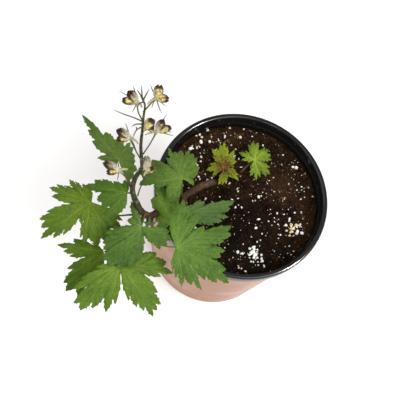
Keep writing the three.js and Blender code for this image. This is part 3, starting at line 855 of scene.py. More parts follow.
def thicken(corners: Array, faces: Array, thickness: "float | Array", traits: dict[str, Array]) -> Sheet:
    """Gives a triangle sheet an upper face, an under face and a wall round its edges.

    Args:
        corners: The middle sheet's corners, in mm.
        faces: Its triangles, anticlockwise from above.
        thickness: How thick it is, in mm, all over or at each corner.
        traits: Numbers at each corner.

    Returns:
        The closed sheet, with skin 0 above and at the edges and skin 1 beneath.
    """
    half = vertex_normals(corners, faces) * np.broadcast_to(thickness, len(corners))[:, None] / 2
    count = len(corners)
    wall = [(a, count + a, count + b, b) for a, b in rim_edges(faces)]
    upper = [tuple(face) for face in faces.tolist()]
    under = [(count + a, count + c, count + b) for a, b, c in upper]
    skins = [0] * len(upper) + [1] * len(under) + [0] * len(wall)
    doubled = {name: np.r_[values, values] for name, values in traits.items()}
    return Sheet(np.vstack([corners + half, corners - half]), upper + under + wall, skins, doubled)


# ---- Geometry Nodes ----


class Grower(NodeTree):
    """A Geometry Nodes tree with named sizes, which grows pieces from a base object."""

    KINDS = {int: "NodeSocketInt", float: "NodeSocketFloat"}

    def __init__(self, name: str, **sizes: float) -> None:
        """Starts a tree.

        Args:
            name: The tree's name.
            sizes: Its inputs and their usual values.
        """
        group = bpy.data.node_groups.new(name, "GeometryNodeTree")
        group.interface.new_socket(name="Base", in_out="INPUT", socket_type="NodeSocketGeometry")
        self.inputs = {}
        for label, usual in sizes.items():
            kind = self.KINDS[type(usual)]
            socket = group.interface.new_socket(name=label, in_out="INPUT", socket_type=kind)
            socket.default_value = usual
            self.inputs[label] = socket.identifier
        group.interface.new_socket(name="Grown", in_out="OUTPUT", socket_type="NodeSocketGeometry")
        super().__init__(group)
        self.enter = group.nodes.new("NodeGroupInput")
        self.base = self.enter.outputs["Base"]

    def size(self, name: str) -> Signal:
        """A named size as a number in the tree."""
        return Signal(self, self.enter.outputs[name])

    def random(self, low: "float | Point", high: "float | Point", seed: "Signal | int") -> Link:
        """A random number for each element, or a random vector where low is one.

        Args:
            low: The least that it may be.
            high: The most.
            seed: Which draw it is.

        Returns:
            The draw.
        """
        kind = "FLOAT_VECTOR" if isinstance(low, tuple) else "FLOAT"
        node = self.node("FunctionNodeRandomValue", {"data_type": kind})
        sockets = {socket.identifier: socket for socket in node.inputs}
        ends = ("Min", "Max") if kind == "FLOAT_VECTOR" else ("Min_001", "Max_001")
        for end, value in zip(ends, (low, high)):
            self.feed(sockets[end], value)
        self.feed(sockets["Seed"], seed)
        return node.outputs[0 if kind == "FLOAT_VECTOR" else 1]

    def store(self, geometry: Link, name: str, value: Link) -> Link:
        """Keeps a number on each point of a geometry under a name."""
        sockets = {"Geometry": geometry, "Name": name, "Value": value}
        return self.node("GeometryNodeStoreNamedAttribute", {}, sockets).outputs[0]

    def stored(self, name: str) -> Signal:
        """A number that the geometry carries under a name."""
        node = self.node("GeometryNodeInputNamedAttribute", {"data_type": "FLOAT"}, {"Name": name})
        return Signal(self, node.outputs[0])

    def lumps(self, scale: float) -> Signal:
        """Cloudy noise round zero."""
        cloud = self.node("ShaderNodeTexNoise", {}, {"Scale": scale, "Detail": 2.0})
        return Signal(self, cloud.outputs["Fac"]) - 0.5

    def scaled(self, vector: Link, factor: Signal) -> Link:
        """A vector made longer or shorter by a factor."""
        sockets = {0: vector, "Scale": factor}
        return self.node("ShaderNodeVectorMath", {"operation": "SCALE"}, sockets).outputs[0]

    def pushed(self, geometry: Link, out: Signal) -> Link:
        """Moves each point of a geometry out along its normal."""
        push = self.scaled(self.node("GeometryNodeInputNormal").outputs[0], out)
        return self.node("GeometryNodeSetPosition", {}, {"Geometry": geometry, "Offset": push}).outputs[0]

    def close(self, geometry: Link, skin: Material, smooth: bool = True,
              patch: tuple[Signal, Material] | None = None) -> None:
        """Ends the tree: real geometry, its shading and its material.

        Args:
            geometry: What was grown.
            skin: The material.
            smooth: Whether it is shaded smooth.
            patch: Which faces have another material, and that material.
        """
        real = self.node("GeometryNodeRealizeInstances", {}, {0: geometry}).outputs[0]
        shading = {"Geometry": real, "Shade Smooth": smooth}
        shaded = self.node("GeometryNodeSetShadeSmooth", {}, shading).outputs[0]
        dressed = self.node("GeometryNodeSetMaterial", {}, {"Geometry": shaded, "Material": skin}).outputs[0]
        if patch:
            sockets = {"Geometry": dressed, "Selection": patch[0], "Material": patch[1]}
            dressed = self.node("GeometryNodeSetMaterial", {}, sockets).outputs[0]
        self.node("NodeGroupOutput", {}, {0: dressed})

    def grow(self, name: str, base: Object, **sizes: float) -> Object:
        """Grows a piece and turns it into a plain mesh.

        Args:
            name: The piece's name.
            base: What it grows from, which is left out of the scene afterwards.
            sizes: The sizes that differ from the usual ones.

        Returns:
            The piece.
        """
        modifier = base.modifiers.new("grow", "NODES")
        modifier.node_group = self.tree
        for label, value in sizes.items():
            modifier[self.inputs[label]] = value
        base.update_tag()
        graph = bpy.context.evaluated_depsgraph_get()
        mesh = bpy.data.meshes.new_from_object(base.evaluated_get(graph), depsgraph=graph)
        bpy.data.objects.remove(base)
        mesh.name = name
        return in_scene(bpy.data.objects.new(name, mesh))


@dataclass(frozen=True)
class Stalk:
    """A round tapered stalk: what its middle passes through and its radii from foot to tip, in mm."""

    points: tuple[Point, ...]
    radii: tuple[float, ...]
    steps: int = 24


class StalkGrower:
    """Grows round tapered stalks along smooth paths."""

    LUMP_SCALE = 420.0

    def __init__(self, name: str, skin: Material) -> None:
        """Builds the tree that dresses lines as stalks.

        Args:
            name: The tree's name.
            skin: What its stalks are dressed in.
        """
        tree = Grower(name, Sides=10, Ribs=7.0, Depth=0.0, Grain=0.0)
        line = tree.store(tree.base, "along", tree.node("GeometryNodeSplineParameter").outputs["Factor"])
        circle = {"Resolution": tree.size("Sides"), "Radius": 1.0}
        ring = tree.node("GeometryNodeCurvePrimitiveCircle", {}, circle)
        ring_place = tree.node("GeometryNodeSplineParameter").outputs["Factor"]
        section = tree.store(ring.outputs[0], "around", ring_place)
        radius = tree.node("GeometryNodeInputRadius").outputs[0]
        sockets = {"Curve": line, "Profile Curve": section, "Scale": radius, "Fill Caps": True}
        tube = tree.node("GeometryNodeCurveToMesh", {}, sockets)
        ribs = (tree.stored("around") * tree.size("Ribs") * math.tau).wave() * tree.size("Depth")
        out = ribs + tree.lumps(self.LUMP_SCALE) * tree.size("Grain")
        tree.close(tree.pushed(tube.outputs[0], out), skin)
        self.tree = tree

    def grow(self, name: str, stalks: Sequence[Stalk], **sizes: float) -> Object:
        """Grows stalks as one mesh object.

        Args:
            name: The object's name.
            stalks: The stalks.
            sizes: The tree's sizes.

        Returns:
            The object.
        """
        curve = bpy.data.curves.new(name, "CURVE")
        curve.dimensions = "3D"
        for stalk in stalks:
            path = smooth_path(stalk.points, stalk.steps)
            places = np.linspace(0, 1, len(path))
            widths = np.interp(places, np.linspace(0, 1, len(stalk.radii)), stalk.radii)
            spline = curve.splines.new("POLY")
            spline.points.add(len(path) - 1)
            for point, spot, width in zip(spline.points, path * MM, widths * MM):
                point.co = (*spot, 1.0)
                point.radius = width
        return self.tree.grow(name, in_scene(bpy.data.objects.new(name + "_line", curve)), **sizes)


class DownGrower:
    """Grows short hairs out of a surface."""

    LEAST_SWAY = (-0.6, -0.6, 0.0)
    MOST_SWAY = (0.6, 0.6, 6.28)
    LENGTHS = (0.5, 1.2)

    def __init__(self, skin: Material) -> None:
        """Builds the tree that strews hairs over a surface.

        Args:
            skin: What the hairs are dressed in.
        """
        tree = Grower("down", Hairs=2.0e6, Length=0.0007, Width=0.00002, Seed=3)
        hair = tree.node("GeometryNodeMeshCone", {"fill_type": "NONE"},
                         {"Vertices": 3, "Radius Top": 0.0, "Radius Bottom": tree.size("Width"),
                          "Depth": tree.size("Length")}).outputs["Mesh"]
        spread = tree.node("GeometryNodeDistributePointsOnFaces", {"distribute_method": "RANDOM"},
                           {"Mesh": tree.base, "Density": tree.size("Hairs"), "Seed": tree.size("Seed")})
        sway = tree.random(self.LEAST_SWAY, self.MOST_SWAY, tree.size("Seed") + 1)
        lean = tree.node("FunctionNodeRotateRotation", {"rotation_space": "LOCAL"},
                         {"Rotation": spread.outputs["Rotation"], "Rotate By": sway})
        lengths = tree.random(*self.LENGTHS, tree.size("Seed") + 2)
        placed = tree.node("GeometryNodeInstanceOnPoints", {},
                           {"Points": spread.outputs["Points"], "Instance": hair, "Rotation": lean.outputs[0],
                            "Scale": lengths})
        tree.close(placed.outputs[0], skin)
        self.tree = tree

    def grow(self, name: str, surface: Object, **sizes: float) -> Object:
        """Grows hairs over a copy of a surface and returns them as one mesh object."""
        return self.tree.grow(name, in_scene(surface.copy()), **sizes)


class LumpStrewer:
    """Sets rough lumps at chosen places, each turned and stretched its own way."""

    LUMP_SCALE = 1.7
    NARROWEST = (0.65, 0.65, 0.5)
    WIDEST = (1.25, 1.25, 1.0)
    TURN = (6.28, 6.28, 6.28)

    def __init__(self, name: str, skin: Material) -> None:
        """Builds the tree that sets a lump at each point of its base.

        Args:
            name: The tree's name.
            skin: What the lumps are dressed in.
        """
        tree = Grower(name, Smoothness=1, Roughness=0.5, Seed=5)
        seed = tree.size("Seed")
        sphere = {"Radius": 1.0, "Subdivisions": tree.size("Smoothness")}
        ball = tree.node("GeometryNodeMeshIcoSphere", {}, sphere)
        rough = tree.pushed(ball.outputs[0], tree.lumps(self.LUMP_SCALE) * tree.size("Roughness"))
        size = tree.scaled(tree.random(self.NARROWEST, self.WIDEST, seed), tree.stored("girth"))
        turn = tree.random((0.0, 0.0, 0.0), self.TURN, seed + 1)
        placed = tree.node("GeometryNodeInstanceOnPoints", {},
                           {"Points": tree.base, "Instance": rough, "Rotation": turn, "Scale": size})
        tree.close(placed.outputs[0], skin, smooth=False)
        self.tree = tree

    def strew(self, name: str, places: Array, girths: Array, shades: Array,
              **sizes: float) -> Object:
        """Strews one lump at each place.

        Args:
            name: The object's name.
            places: Where they lie, in mm.
            girths: The half width of each, in mm.
            shades: The shade of each, from 0 to 1.
            sizes: The tree's sizes.

        Returns:
            The lumps as one mesh object.
        """
        traits = {"girth": girths * MM, "shade": shades}
        base = make_object(name + "_places", Sheet(places, [], [], traits), [])
        return self.tree.grow(name, base, **sizes)


# ---- Pot and soil ----


class Moulding(Enum):
    """The two mouldings of the pot."""

    RIM = 0
    WALL = 1


@dataclass(frozen=True)
class Corner:
    """A corner of the pot's outline, how round it is, and the moulding of the stretch that leaves it."""

    radius: float
    height: float
    fillet: float = 0.0
    moulding: Moulding = Moulding.RIM

    @property
    def spot(self) -> Array:
        """The corner's place in the outline's plane."""
        return np.array([self.radius, self.height])


@dataclass(frozen=True)
class NurseryPot:
    """The round tapered pot: thin walled, with a rolled skirt, a step in its mouth and drain holes. In mm.

    groove_in, groove_half and groove_depth are the ring groove in its underside: how far inside the base's
    edge its middle lies, half its width and its depth. fillet_share is the share of a stretch that a
    fillet may take.
    """

    height: float = 160.0
    rim_radius: float = 82.5
    rim_depth: float = 10.0
    mouth_radius: float = 77.5
    base_radius: float = 66.8
    shoulder_radius: float = 79.5
    wall: float = 2.2
    floor: float = 3.0
    drain_radius: float = 5.0
    drain_circle: float = 46.0
    drains: int = 8
    drill_sides: int = 32
    drill_length: float = 30.0
    groove_in: float = 7.5
    groove_half: float = 1.5
    groove_depth: float = 0.8
    step_drop: float = 5.0
    fillet_steps: int = 7
    fillet_share: float = 0.48
    sectors: int = 168
    crease: float = 40.0

    def outside(self, height: float) -> float:
        """The wall's outside radius at a height."""
        share = height / (self.height - self.rim_depth)
        return self.base_radius + (self.shoulder_radius - self.base_radius) * share

    def outline(self) -> list[Corner]:
        """The outline from the middle of the underside, up the outside and down the inside.

        Returns:
            Its corners in order.
        """
        foot = self.height - self.rim_depth
        inner = self.outside(foot) - self.wall
        groove = self.base_radius - self.groove_in
        return [
            Corner(0, 0, moulding=Moulding.WALL),
            Corner(groove - self.groove_half, 0, 0.5, Moulding.WALL),
            Corner(groove, self.groove_depth, 0.5, Moulding.WALL),
            Corner(groove + self.groove_half, 0, 0.5, Moulding.WALL),
            Corner(self.base_radius - 0.3, 0, 1.6, Moulding.WALL),
            Corner(self.outside(foot), foot, 0.35),
            Corner(self.rim_radius - 0.1, foot, 0.7),
            Corner(self.rim_radius, self.height - 0.1, 2.4),
            Corner(self.mouth_radius + 0.1, self.height, 2.2),
            Corner(self.mouth_radius - 0.4, foot + 1, 0.8),
            Corner(inner - 1.2, foot - 0.4, 0.7),
            Corner(self.outside(foot - self.step_drop) - self.wall, foot - self.step_drop, 1.2),
            Corner(self.outside(self.floor) - self.wall, self.floor, 1.5),
            Corner(0, self.floor),
        ]

    def rounded(self) -> tuple[Array, list[Moulding]]:
        """Rounds the outline's corners.

        Returns:
            The rounded outline's spots, and the moulding of the stretch that leaves each.
        """
        corners = self.outline()
        spots, mouldings = [corners[0].spot], [corners[0].moulding]
        for before, corner, after in zip(corners, corners[1:], corners[2:]):
            back, ahead = before.spot - corner.spot, after.spot - corner.spot
            back_length, ahead_length = norm(back), norm(ahead)
            reach = min(corner.fillet, back_length * self.fillet_share, ahead_length * self.fillet_share)
            start = corner.spot + back / back_length * reach
            end = corner.spot + ahead / ahead_length * reach
            for t in np.linspace(0, 1, self.fillet_steps):
                spots.append((1 - t) ** 2 * start + 2 * t * (1 - t) * corner.spot + t * t * end)
                mouldings.append(corner.moulding if t >= 0.5 else before.moulding)
        spots.append(corners[-1].spot)
        return np.array(spots), mouldings

    def shell(self) -> Sheet:
        """The outline turned round the pot's axis.

        Returns:
            The pot before its drain holes are cut, with a moulding's number as the skin of each face.
        """
        spots, mouldings = self.rounded()
        angles = np.arange(self.sectors) * math.tau / self.sectors
        rings = spots[1:-1]
        x = np.outer(rings[:, 0], np.cos(angles)).ravel()
        y = np.outer(rings[:, 0], np.sin(angles)).ravel()
        z = np.repeat(rings[:, 1], self.sectors)
        corners = np.vstack([np.column_stack([x, y, z]), [0, 0, spots[0][1]], [0, 0, spots[-1][1]]])
        faces, skins = [], []
        low, high = len(corners) - 2, len(corners) - 1
        for j in range(self.sectors):
            k = (j + 1) % self.sectors
            faces.append((low, k, j))
            skins.append(mouldings[0].value)
            for i in range(len(rings) - 1):
                a, b = i * self.sectors, (i + 1) * self.sectors
                faces.append((a + j, a + k, b + k, b + j))
                skins.append(mouldings[i + 1].value)
            top = (len(rings) - 1) * self.sectors
            faces.append((top + j, top + k, high))
            skins.append(mouldings[-1].value)
        return Sheet(corners, faces, skins, {})

    def drilled(self, rim: Material, wall: Material) -> Grower:
        """Makes the tree that cuts the drain holes and dresses both mouldings.

        Args:
            rim: What the lip, the skirt and the inside are dressed in.
            wall: What the outer wall is dressed in.

        Returns:
            The tree.
        """
        tree = Grower("pot_drains", Drains=self.drains, Circle=self.drain_circle * MM,
                      Radius=self.drain_radius * MM)
        circle = {"Vertices": tree.size("Drains"), "Radius": tree.size("Circle")}
        ring = tree.node("GeometryNodeMeshCircle", {}, circle)
        turned = tree.node("GeometryNodeTransform", {},
                           {"Geometry": ring.outputs[0], "Rotation": (0.0, 0.0, math.pi / self.drains)})
        length = self.drill_length * MM
        drill = tree.node("GeometryNodeMeshCylinder", {},
                          {"Vertices": self.drill_sides, "Radius": tree.size("Radius"), "Depth": length})
        drills = tree.node("GeometryNodeInstanceOnPoints", {},
                           {"Points": turned.outputs[0], "Instance": drill.outputs["Mesh"]})
        solid = tree.node("GeometryNodeRealizeInstances", {}, {0: drills.outputs[0]})
        cut = tree.node("GeometryNodeMeshBoolean", {"operation": "DIFFERENCE", "solver": "EXACT"},
                        {"Mesh 1": tree.base, "Mesh 2": solid.outputs[0]})
        tree.close(cut.outputs[0], rim, patch=(tree.stored("moulding") - 0.5, wall))
        return tree

    def build(self) -> None:
        """Builds and dresses the pot."""
        shell = self.shell()
        base = make_object("pot_blank", shell, [])
        held = base.data.attributes.new("moulding", "FLOAT", "FACE")
        held.data.foreach_set("value", np.array(shell.skins, np.float32))
        tree = self.drilled(BlackRim().make(), DustyPinkWall().make())
        pot = tree.grow("pot_shell", base)
        pot.data.shade_smooth()
        pot.data.set_sharp_from_angle(angle=math.radians(self.crease))
        seat(pot, "pot", "nursery_pot")


@dataclass(frozen=True)
class PerliteCluster:
    """A spot where perlite lies thick: its middle, half sizes and turn in plan, and its number of grains.

    shade is the middle of its grains' shades, from 0, white, to 1, straw.
    """

    middle: tuple[float, float]
    half: tuple[float, float]
    turn: float
    grains: int
    shade: float = 0.3


class Draw(Enum):
    """The seeds of the draws that strew loose matter over the soil."""

    LOOSE = 21
    SPECKS = 22
    FIBRES = 23
    CRUMBS = 24


@dataclass(frozen=True)
class SoilBed:
    """The crumbly potting mix that fills the pot, and the loose matter on it. In mm.

    A room is how far something keeps from the pot's wall, and a clear how far it keeps from a stem.
    """

    pot: NurseryPot
    stem_feet: tuple[tuple[float, float], ...]
    level: float = 143.0
    relief: float = 1.1
    clearance: float = 0.6
    pitch: float = 1.15
    rim_sides: int = 220
    rim_room: float = 0.8
    floor_gap: float = 0.3
    bedded: int = 52
    bedded_room: float = 5.0
    bedded_clear: float = 9.0
    loose: int = 150
    specks: int = 300
    loose_room: float = 1.6
    loose_clear: float = 4.0
    crumbs: int = 6500
    crumb_clear: float = 3.6
    fibres: int = 190
    fibre_clear: float = 5.0
    fibre_reach: float = 73.0
    bed_shade: float = 0.3
    bed_crease: float = 60.0
    seed: int = 11
    clusters: tuple[PerliteCluster, ...] = (
        PerliteCluster((12, -56), (11, 9), -60, 36, 0.05),
        PerliteCluster((-37, 57), (16, 9), 40, 11, 0.6),
        PerliteCluster((50, -28), (13, 7), -50, 24, 0.85),
    )

    def height(self, spots: Array) -> Array:
        """The height of the smooth surface over each spot.

        Args:
            spots: Rows of x and y.

        Returns:
            One height a spot.
        """
        x, y = spots[:, 0], spots[:, 1]
        swell = np.sin(x / 17 + 1.2) * np.cos(y / 21) + 0.6 * np.sin((x + y) / 11)
        lumps = 0.5 * np.sin(x / 4.3) * np.sin(y / 5.1 + 0.7)
        return self.level + self.relief * (swell + lumps) / 2

    def crumbled(self, spots: Array) -> Array:
        """The height of the crumbly surface over each spot."""
        return self.height(spots) + 1.3 * soft_noise(spots, 5.5, 1) + 0.55 * soft_noise(spots, 1.9, 2)

    def bed(self) -> Sheet:
        """The body of soil, with its crumbly top.

        Returns:
            The closed body.
        """
        edge = self.pot.outside(self.level) - self.pot.wall - self.clearance
        foot = self.pot.outside(self.pot.floor) - self.pot.wall - self.clearance
        angles = np.arange(self.rim_sides) * math.tau / self.rim_sides
        rim = edge * np.column_stack([np.cos(angles), np.sin(angles)])
        net = honeycomb(np.full(2, -edge), np.full(2, edge), self.pitch)
        net = net[norm(net, axis=1) < edge - self.rim_room]
        plan = np.vstack([rim, net])
        ring = [(i, (i + 1) % len(rim)) for i in range(len(rim))]
        made = delaunay_2d_cdt([Vector(spot) for spot in plan], ring, [], 0, 1e-6, False)
        flat = np.array([tuple(spot) for spot in made[0]])
        top = np.column_stack([flat, self.crumbled(flat)])
        count = len(top)
        ground = self.pot.floor + self.floor_gap
        below = np.column_stack([rim / edge * foot, np.full(len(rim), ground)])
        corners = np.vstack([top, below, [0, 0, ground]])
        faces = [tuple(face) for face in made[2]]
        faces += [(a, count + a, count + b, b) for a, b in ring]
        faces += [(count + a, len(corners) - 1, count + b) for a, b in ring]
        return Sheet(corners, faces, [0] * len(faces), {"shade": np.full(len(corners), self.bed_shade)})

    def strewn(self, count: int, draw: Draw, keep_clear: float) -> Array:
        """Even random spots over the surface, clear of the stems.

        Args:
            count: How many are drawn.
            draw: Which draw it is.
            keep_clear: How far they keep from a stem.

        Returns:
            Those spots of the draw that are clear.
        """
        rng = np.random.default_rng(draw.value)
        reach = self.pot.outside(self.level) - self.pot.wall - self.loose_room
        radius, angle = reach * np.sqrt(rng.random(count)), math.tau * rng.random(count)
        spots = np.column_stack([radius * np.cos(angle), radius * np.sin(angle)])
        gaps = norm(spots[:, None] - np.array(self.stem_feet)[None], axis=2).min(axis=1)
        return spots[gaps > keep_clear]

    def bedded_grains(self) -> tuple[Array, Array]:
        """The large grains bedded in the surface, and their sizes.

        Returns:
            Their spots in plan, and half their widths.
        """
        draw = seeded_draw(self.seed)
        reach = self.pot.outside(self.level) - self.pot.wall - self.bedded_room
        spots, sizes = [], []
        while len(spots) < self.bedded:
            radius, angle = reach * math.sqrt(next(draw)), math.tau * next(draw)
            size = 1.0 + 1.1 * next(draw) ** 2
            next(draw)  # The turn of a grain with flat faces, which these lumps don't need.
            spot = (radius * math.cos(angle), radius * math.sin(angle))
            if min(math.dist(spot, foot) for foot in self.stem_feet) >= self.bedded_clear:
                spots.append(spot)
                sizes.append(size)
        return np.array(spots), np.array(sizes)

    def perlite(self) -> tuple[Array, Array, Array]:
        """Where the perlite lies: bedded grains, loose ones, specks and clusters.

        Returns:
            The grains' places, half their widths and their shades.
        """
        rng = np.random.default_rng(self.seed)
        spots, sizes = self.bedded_grains()
        loose = self.strewn(self.loose, Draw.LOOSE, self.loose_clear)
        specks = self.strewn(self.specks, Draw.SPECKS, self.loose_clear)
        parts = [(spots, sizes * 0.85, rng.random(len(spots)) * 0.9),
                 (loose, rng.uniform(0.5, 1.15, len(loose)), rng.random(len(loose))),
                 (specks, rng.uniform(0.28, 0.55, len(specks)), rng.random(len(specks)))]
        for cluster in self.clusters:
            away = rng.normal(0, 0.5, (cluster.grains, 2)) * cluster.half
            turn = math.radians(cluster.turn)
            cosine, sine = math.cos(turn), math.sin(turn)
            turned = away @ np.array([[cosine, sine], [-sine, cosine]])
            shades = np.clip(rng.normal(cluster.shade, 0.25, cluster.grains), 0, 1)
            parts.append((turned + cluster.middle, rng.uniform(0.7, 1.9, cluster.grains), shades))
        plan, girths, shades = (np.concatenate([part[i] for part in parts]) for i in range(3))
        heights = self.crumbled(plan) + girths * rng.uniform(-0.1, 0.5, len(girths))
        return np.column_stack([plan, heights]), girths, shades

    def fibre_stalks(self) -> list[Stalk]:
        """Short curved fibres and bark splinters that lie on the surface.

        Returns:
            Those that lie clear of the pot's wall.
        """
        rng = np.random.default_rng(self.seed + 3)
        stalks = []
        for spot in self.strewn(self.fibres, Draw.FIBRES, self.fibre_clear):
            turn, length, width = rng.uniform(0, math.tau), rng.uniform(3, 11), rng.uniform(0.12, 0.42)
            ahead = np.array([math.cos(turn), math.sin(turn)])
            aside = np.array([-math.sin(turn), math.cos(turn)])
            bends = rng.normal(0, 0.12 * length, 3)
            plan = np.array([spot + ahead * length * share + aside * bend
                             for share, bend in zip((-0.5, 0, 0.5), bends)])
            if norm(plan, axis=1).max() > self.fibre_reach:
                continue
            heights = self.crumbled(plan) + 0.5 + rng.uniform(0, 0.9, 3)
            points = tuple(map(tuple, np.column_stack([plan, heights])))
            stalks.append(Stalk(points, (width * 0.6, width, width * 0.5), 5))
        return stalks

    def build(self) -> None:
        """Builds and dresses the soil and all that lies on it."""
        peat = DampPeat()
        bed = make_object("soil_bed", self.bed(), [peat.make("damp_peat", lift=0.3)], self.bed_crease)
        seat(bed, "soil", "potting_soil")
        rng = np.random.default_rng(self.seed + 1)
        spots = self.strewn(self.crumbs, Draw.CRUMBS, self.crumb_clear)
        girths = 0.3 + 1.2 * rng.random(len(spots)) ** 3.2
        places = np.column_stack([spots, self.crumbled(spots) + girths * rng.uniform(-0.2, 0.6, len(girths))])
        crumbs = LumpStrewer("crumb_strewer", peat.make("peat_crumbs", lift=1.0))
        seat(crumbs.strew("soil_crumbs", places, girths, rng.random(len(spots)), Roughness=0.9), "soil")
        grains = LumpStrewer("perlite_strewer", WhitePerlite().make())
        seat(grains.strew("perlite_grains", *self.perlite(), Smoothness=2, Roughness=0.7, Seed=9), "soil")
        fibres = StalkGrower("fibre_grower", BarkFibre().make())
        seat(fibres.grow("bark_fibres", self.fibre_stalks(), Sides=5, Grain=0.0001), "soil")


# ---- Leaves ----


@dataclass(frozen=True)
class Lobe:
    """One lobe of a blade: its rise in mm, and each finger's tip, a heading in degrees and a reach in mm."""

    rise: float
    tips: tuple[tuple[float, float], ...]

    @property
    def heading(self) -> float:
        """The heading of the lobe's rib, which runs to its longest finger."""
        return max(self.tips, key=lambda tip: tip[1])[0]

    @property
    def reach(self) -> float:
        """The length of its rib."""
        return max(reach for _, reach in self.tips)

    @property
    def ahead(self) -> Array:
        """The direction of its rib in plan."""
        return plan_direction(self.heading)


def plan_direction(heading: float) -> Array:
    """A direction in plan from a heading in degrees."""
    return np.array([math.cos(math.radians(heading)), math.sin(math.radians(heading))])


@dataclass
class Vein:
    """A vein in plan, how strongly it shows and how wide it is."""

    line: Array
    strength: float
    width: float


class Blade:
    """Builds a cut blade: fingered lobes round a hub, with sunken veins and a gently waved sheet."""

    BLEND = 22.0
    STEP = 0.42
    TOOTH = 1.0
    TOOTH_SPACE = 4.2
    TOOTH_STRETCH = (0.12, 0.56)
    RIB = (1.0, 0.5)
    SIDE_VEIN = (0.7, 0.34)
    VEIN_STEP = 0.9
    VEIN_SIDE = 0.5
    ROOMS = (0.25, 0.4, 0.5)
    FILL_ROOM = 0.95
    PITCH = 1.05
    THICKNESS = 0.45
    WAVE = 1.0
    QUILT = 0.9
    SINK = 0.25
    CURL = 0.5
    CREASE = 0.7

    def __init__(self, leaf: "Leaf") -> None:
        """Takes the leaf that the blade is for."""
        self.leaf = leaf
        self.centre = np.array(leaf.hub[:2], float)

    def at(self, heading: float, distance: float) -> Array:
        """The spot in plan at a heading and distance from the hub."""
        return self.centre + distance * plan_direction(heading)

    def corners(self) -> list[Array]:
        """The outline's corners anticlockwise: a notch and a tip by turns, from a notch to a notch.

        Returns:
            The corners in plan.
        """
        draw = seeded_draw(self.leaf.seed)
        spots = [self.at(*self.leaf.sinuses[0])]
        for lobe, sinus in zip(self.leaf.lobes, self.leaf.sinuses[1:]):
            for (heading, reach), (next_heading, next_reach) in zip(lobe.tips, lobe.tips[1:]):
                depth = self.leaf.cut * (0.75 + 0.7 * next(draw))
                between = heading + (next_heading - heading) * (0.4 + 0.2 * next(draw))
                spots += [self.at(heading, reach), self.at(between, min(reach, next_reach) - depth)]
            spots += [self.at(*lobe.tips[-1]), self.at(*sinus)]
        return spots

    def edge(self, notch: Array, tip: Array, side: int, draw: Iterator[float]) -> Array:
        """An edge from a notch out to a tip: a slight outward bulge with teeth that point to the tip.

        Args:
            notch: Where it starts.
            tip: Where it ends.
            side: 1 where the finger is on its left, and −1 on its right.
            draw: Moves its teeth.

        Returns:
            Its points, the tip left out.
        """
        step = tip - notch
        length = float(norm(step))
        away = side * np.array([step[1], -step[0]])
        bends = (notch, notch + 0.35 * step + 0.03 * away, tip - 0.36 * step + 0.09 * away, tip)
        count = max(4, int(length / self.STEP))
        t = (np.arange(count) / count)[:, None]
        weights = ((1 - t) ** 3, 3 * t * (1 - t) ** 2, 3 * t * t * (1 - t), t**3)
        line = sum(weight * bend for weight, bend in zip(weights, bends))
        teeth = int(min(length / self.TOOTH_SPACE, 2))
        first, stretch = self.TOOTH_STRETCH
        for i in range(teeth):
            place = first + stretch * (i + 0.6 + 0.4 * next(draw)) / teeth
            rise = np.clip((t - place) / 0.2 + 1, 0, 1) * np.clip((place - t) / 0.03 + 1, 0, 1)
            line = line + rise * self.TOOTH * (0.6 + 0.8 * next(draw)) * away / length
        return line

    def outline(self) -> Array:
        """The blade's outline anticlockwise, softly rounded at its tips and notches.

        Returns:
            The closed outline in plan, one row a point.
        """
        corners = self.corners()
        runs = [self.centre[None]]
        draw = seeded_draw(self.leaf.seed + 50)
        for notch, tip, after in zip(corners[::2], corners[1::2], corners[2::2]):
            runs += [self.edge(notch, tip, 1, draw), tip[None], self.edge(after, tip, -1, draw)[:0:-1]]
        loop = np.vstack([*runs, corners[-1][None]])
        return 0.1 * np.roll(loop, 1, axis=0) + 0.8 * loop + 0.1 * np.roll(loop, -1, axis=0)

    def veins(self) -> list[Vein]:
        """A rib to each lobe's longest finger, and a side vein that leaves it for every other finger.

        Returns:
            The veins, each lobe's rib before its side veins.
        """
        found = []
        for lobe in self.leaf.lobes:
            end = self.at(lobe.heading, 0.97 * lobe.reach)
            aside = plan_direction(lobe.heading + 90) * 0.02 * lobe.reach
            middle = (self.centre + end) / 2 + aside
            rib = smooth_path([(*self.centre, 0), (*middle, 0), (*end, 0)], 20)[:, :2]
            found.append(Vein(rib, *self.RIB))
            for heading, reach in lobe.tips:
                if heading != lobe.heading:
                    start = rib[int(20 * min(0.42 * reach / lobe.reach, 0.55))]
                    tip = self.at(heading, 0.94 * reach)
                    bend = (start + tip) / 2 + 0.06 * reach * lobe.ahead
                    line = smooth_path([(*start, 0), (*bend, 0), (*tip, 0)], 10)[:, :2]
                    found.append(Vein(line, *self.SIDE_VEIN))
        return found

    def heights(self, plan: Array) -> Array:
        """The height of the sheet over each spot, each lobe arched, raised and folded along its rib.

        Args:
            plan: Rows of x and y.

        Returns:
            One height a spot.
        """
        away = plan - self.centre
        out = norm(away, axis=1)
        total, weights = np.zeros(len(plan)), np.zeros(len(plan))
        for lobe in self.leaf.lobes:
            cosine = np.clip(away @ lobe.ahead / np.maximum(out, 1e-9), -1, 1)
            off = np.arccos(cosine)
            weight = np.exp(-((off / math.radians(self.BLEND)) ** 2)) + 1e-9
            share = np.minimum(out / lobe.reach, 1.1)
            crease = self.leaf.fold * out * np.sin(np.minimum(off, math.pi / 2))
            lift = lobe.rise * share**1.5 + self.leaf.arch * np.sin(math.pi * np.minimum(share, 1))
            total += weight * (lift - crease)
            weights += weight
        return self.leaf.hub[2] + np.where(out < 1e-6, 0, total / weights)

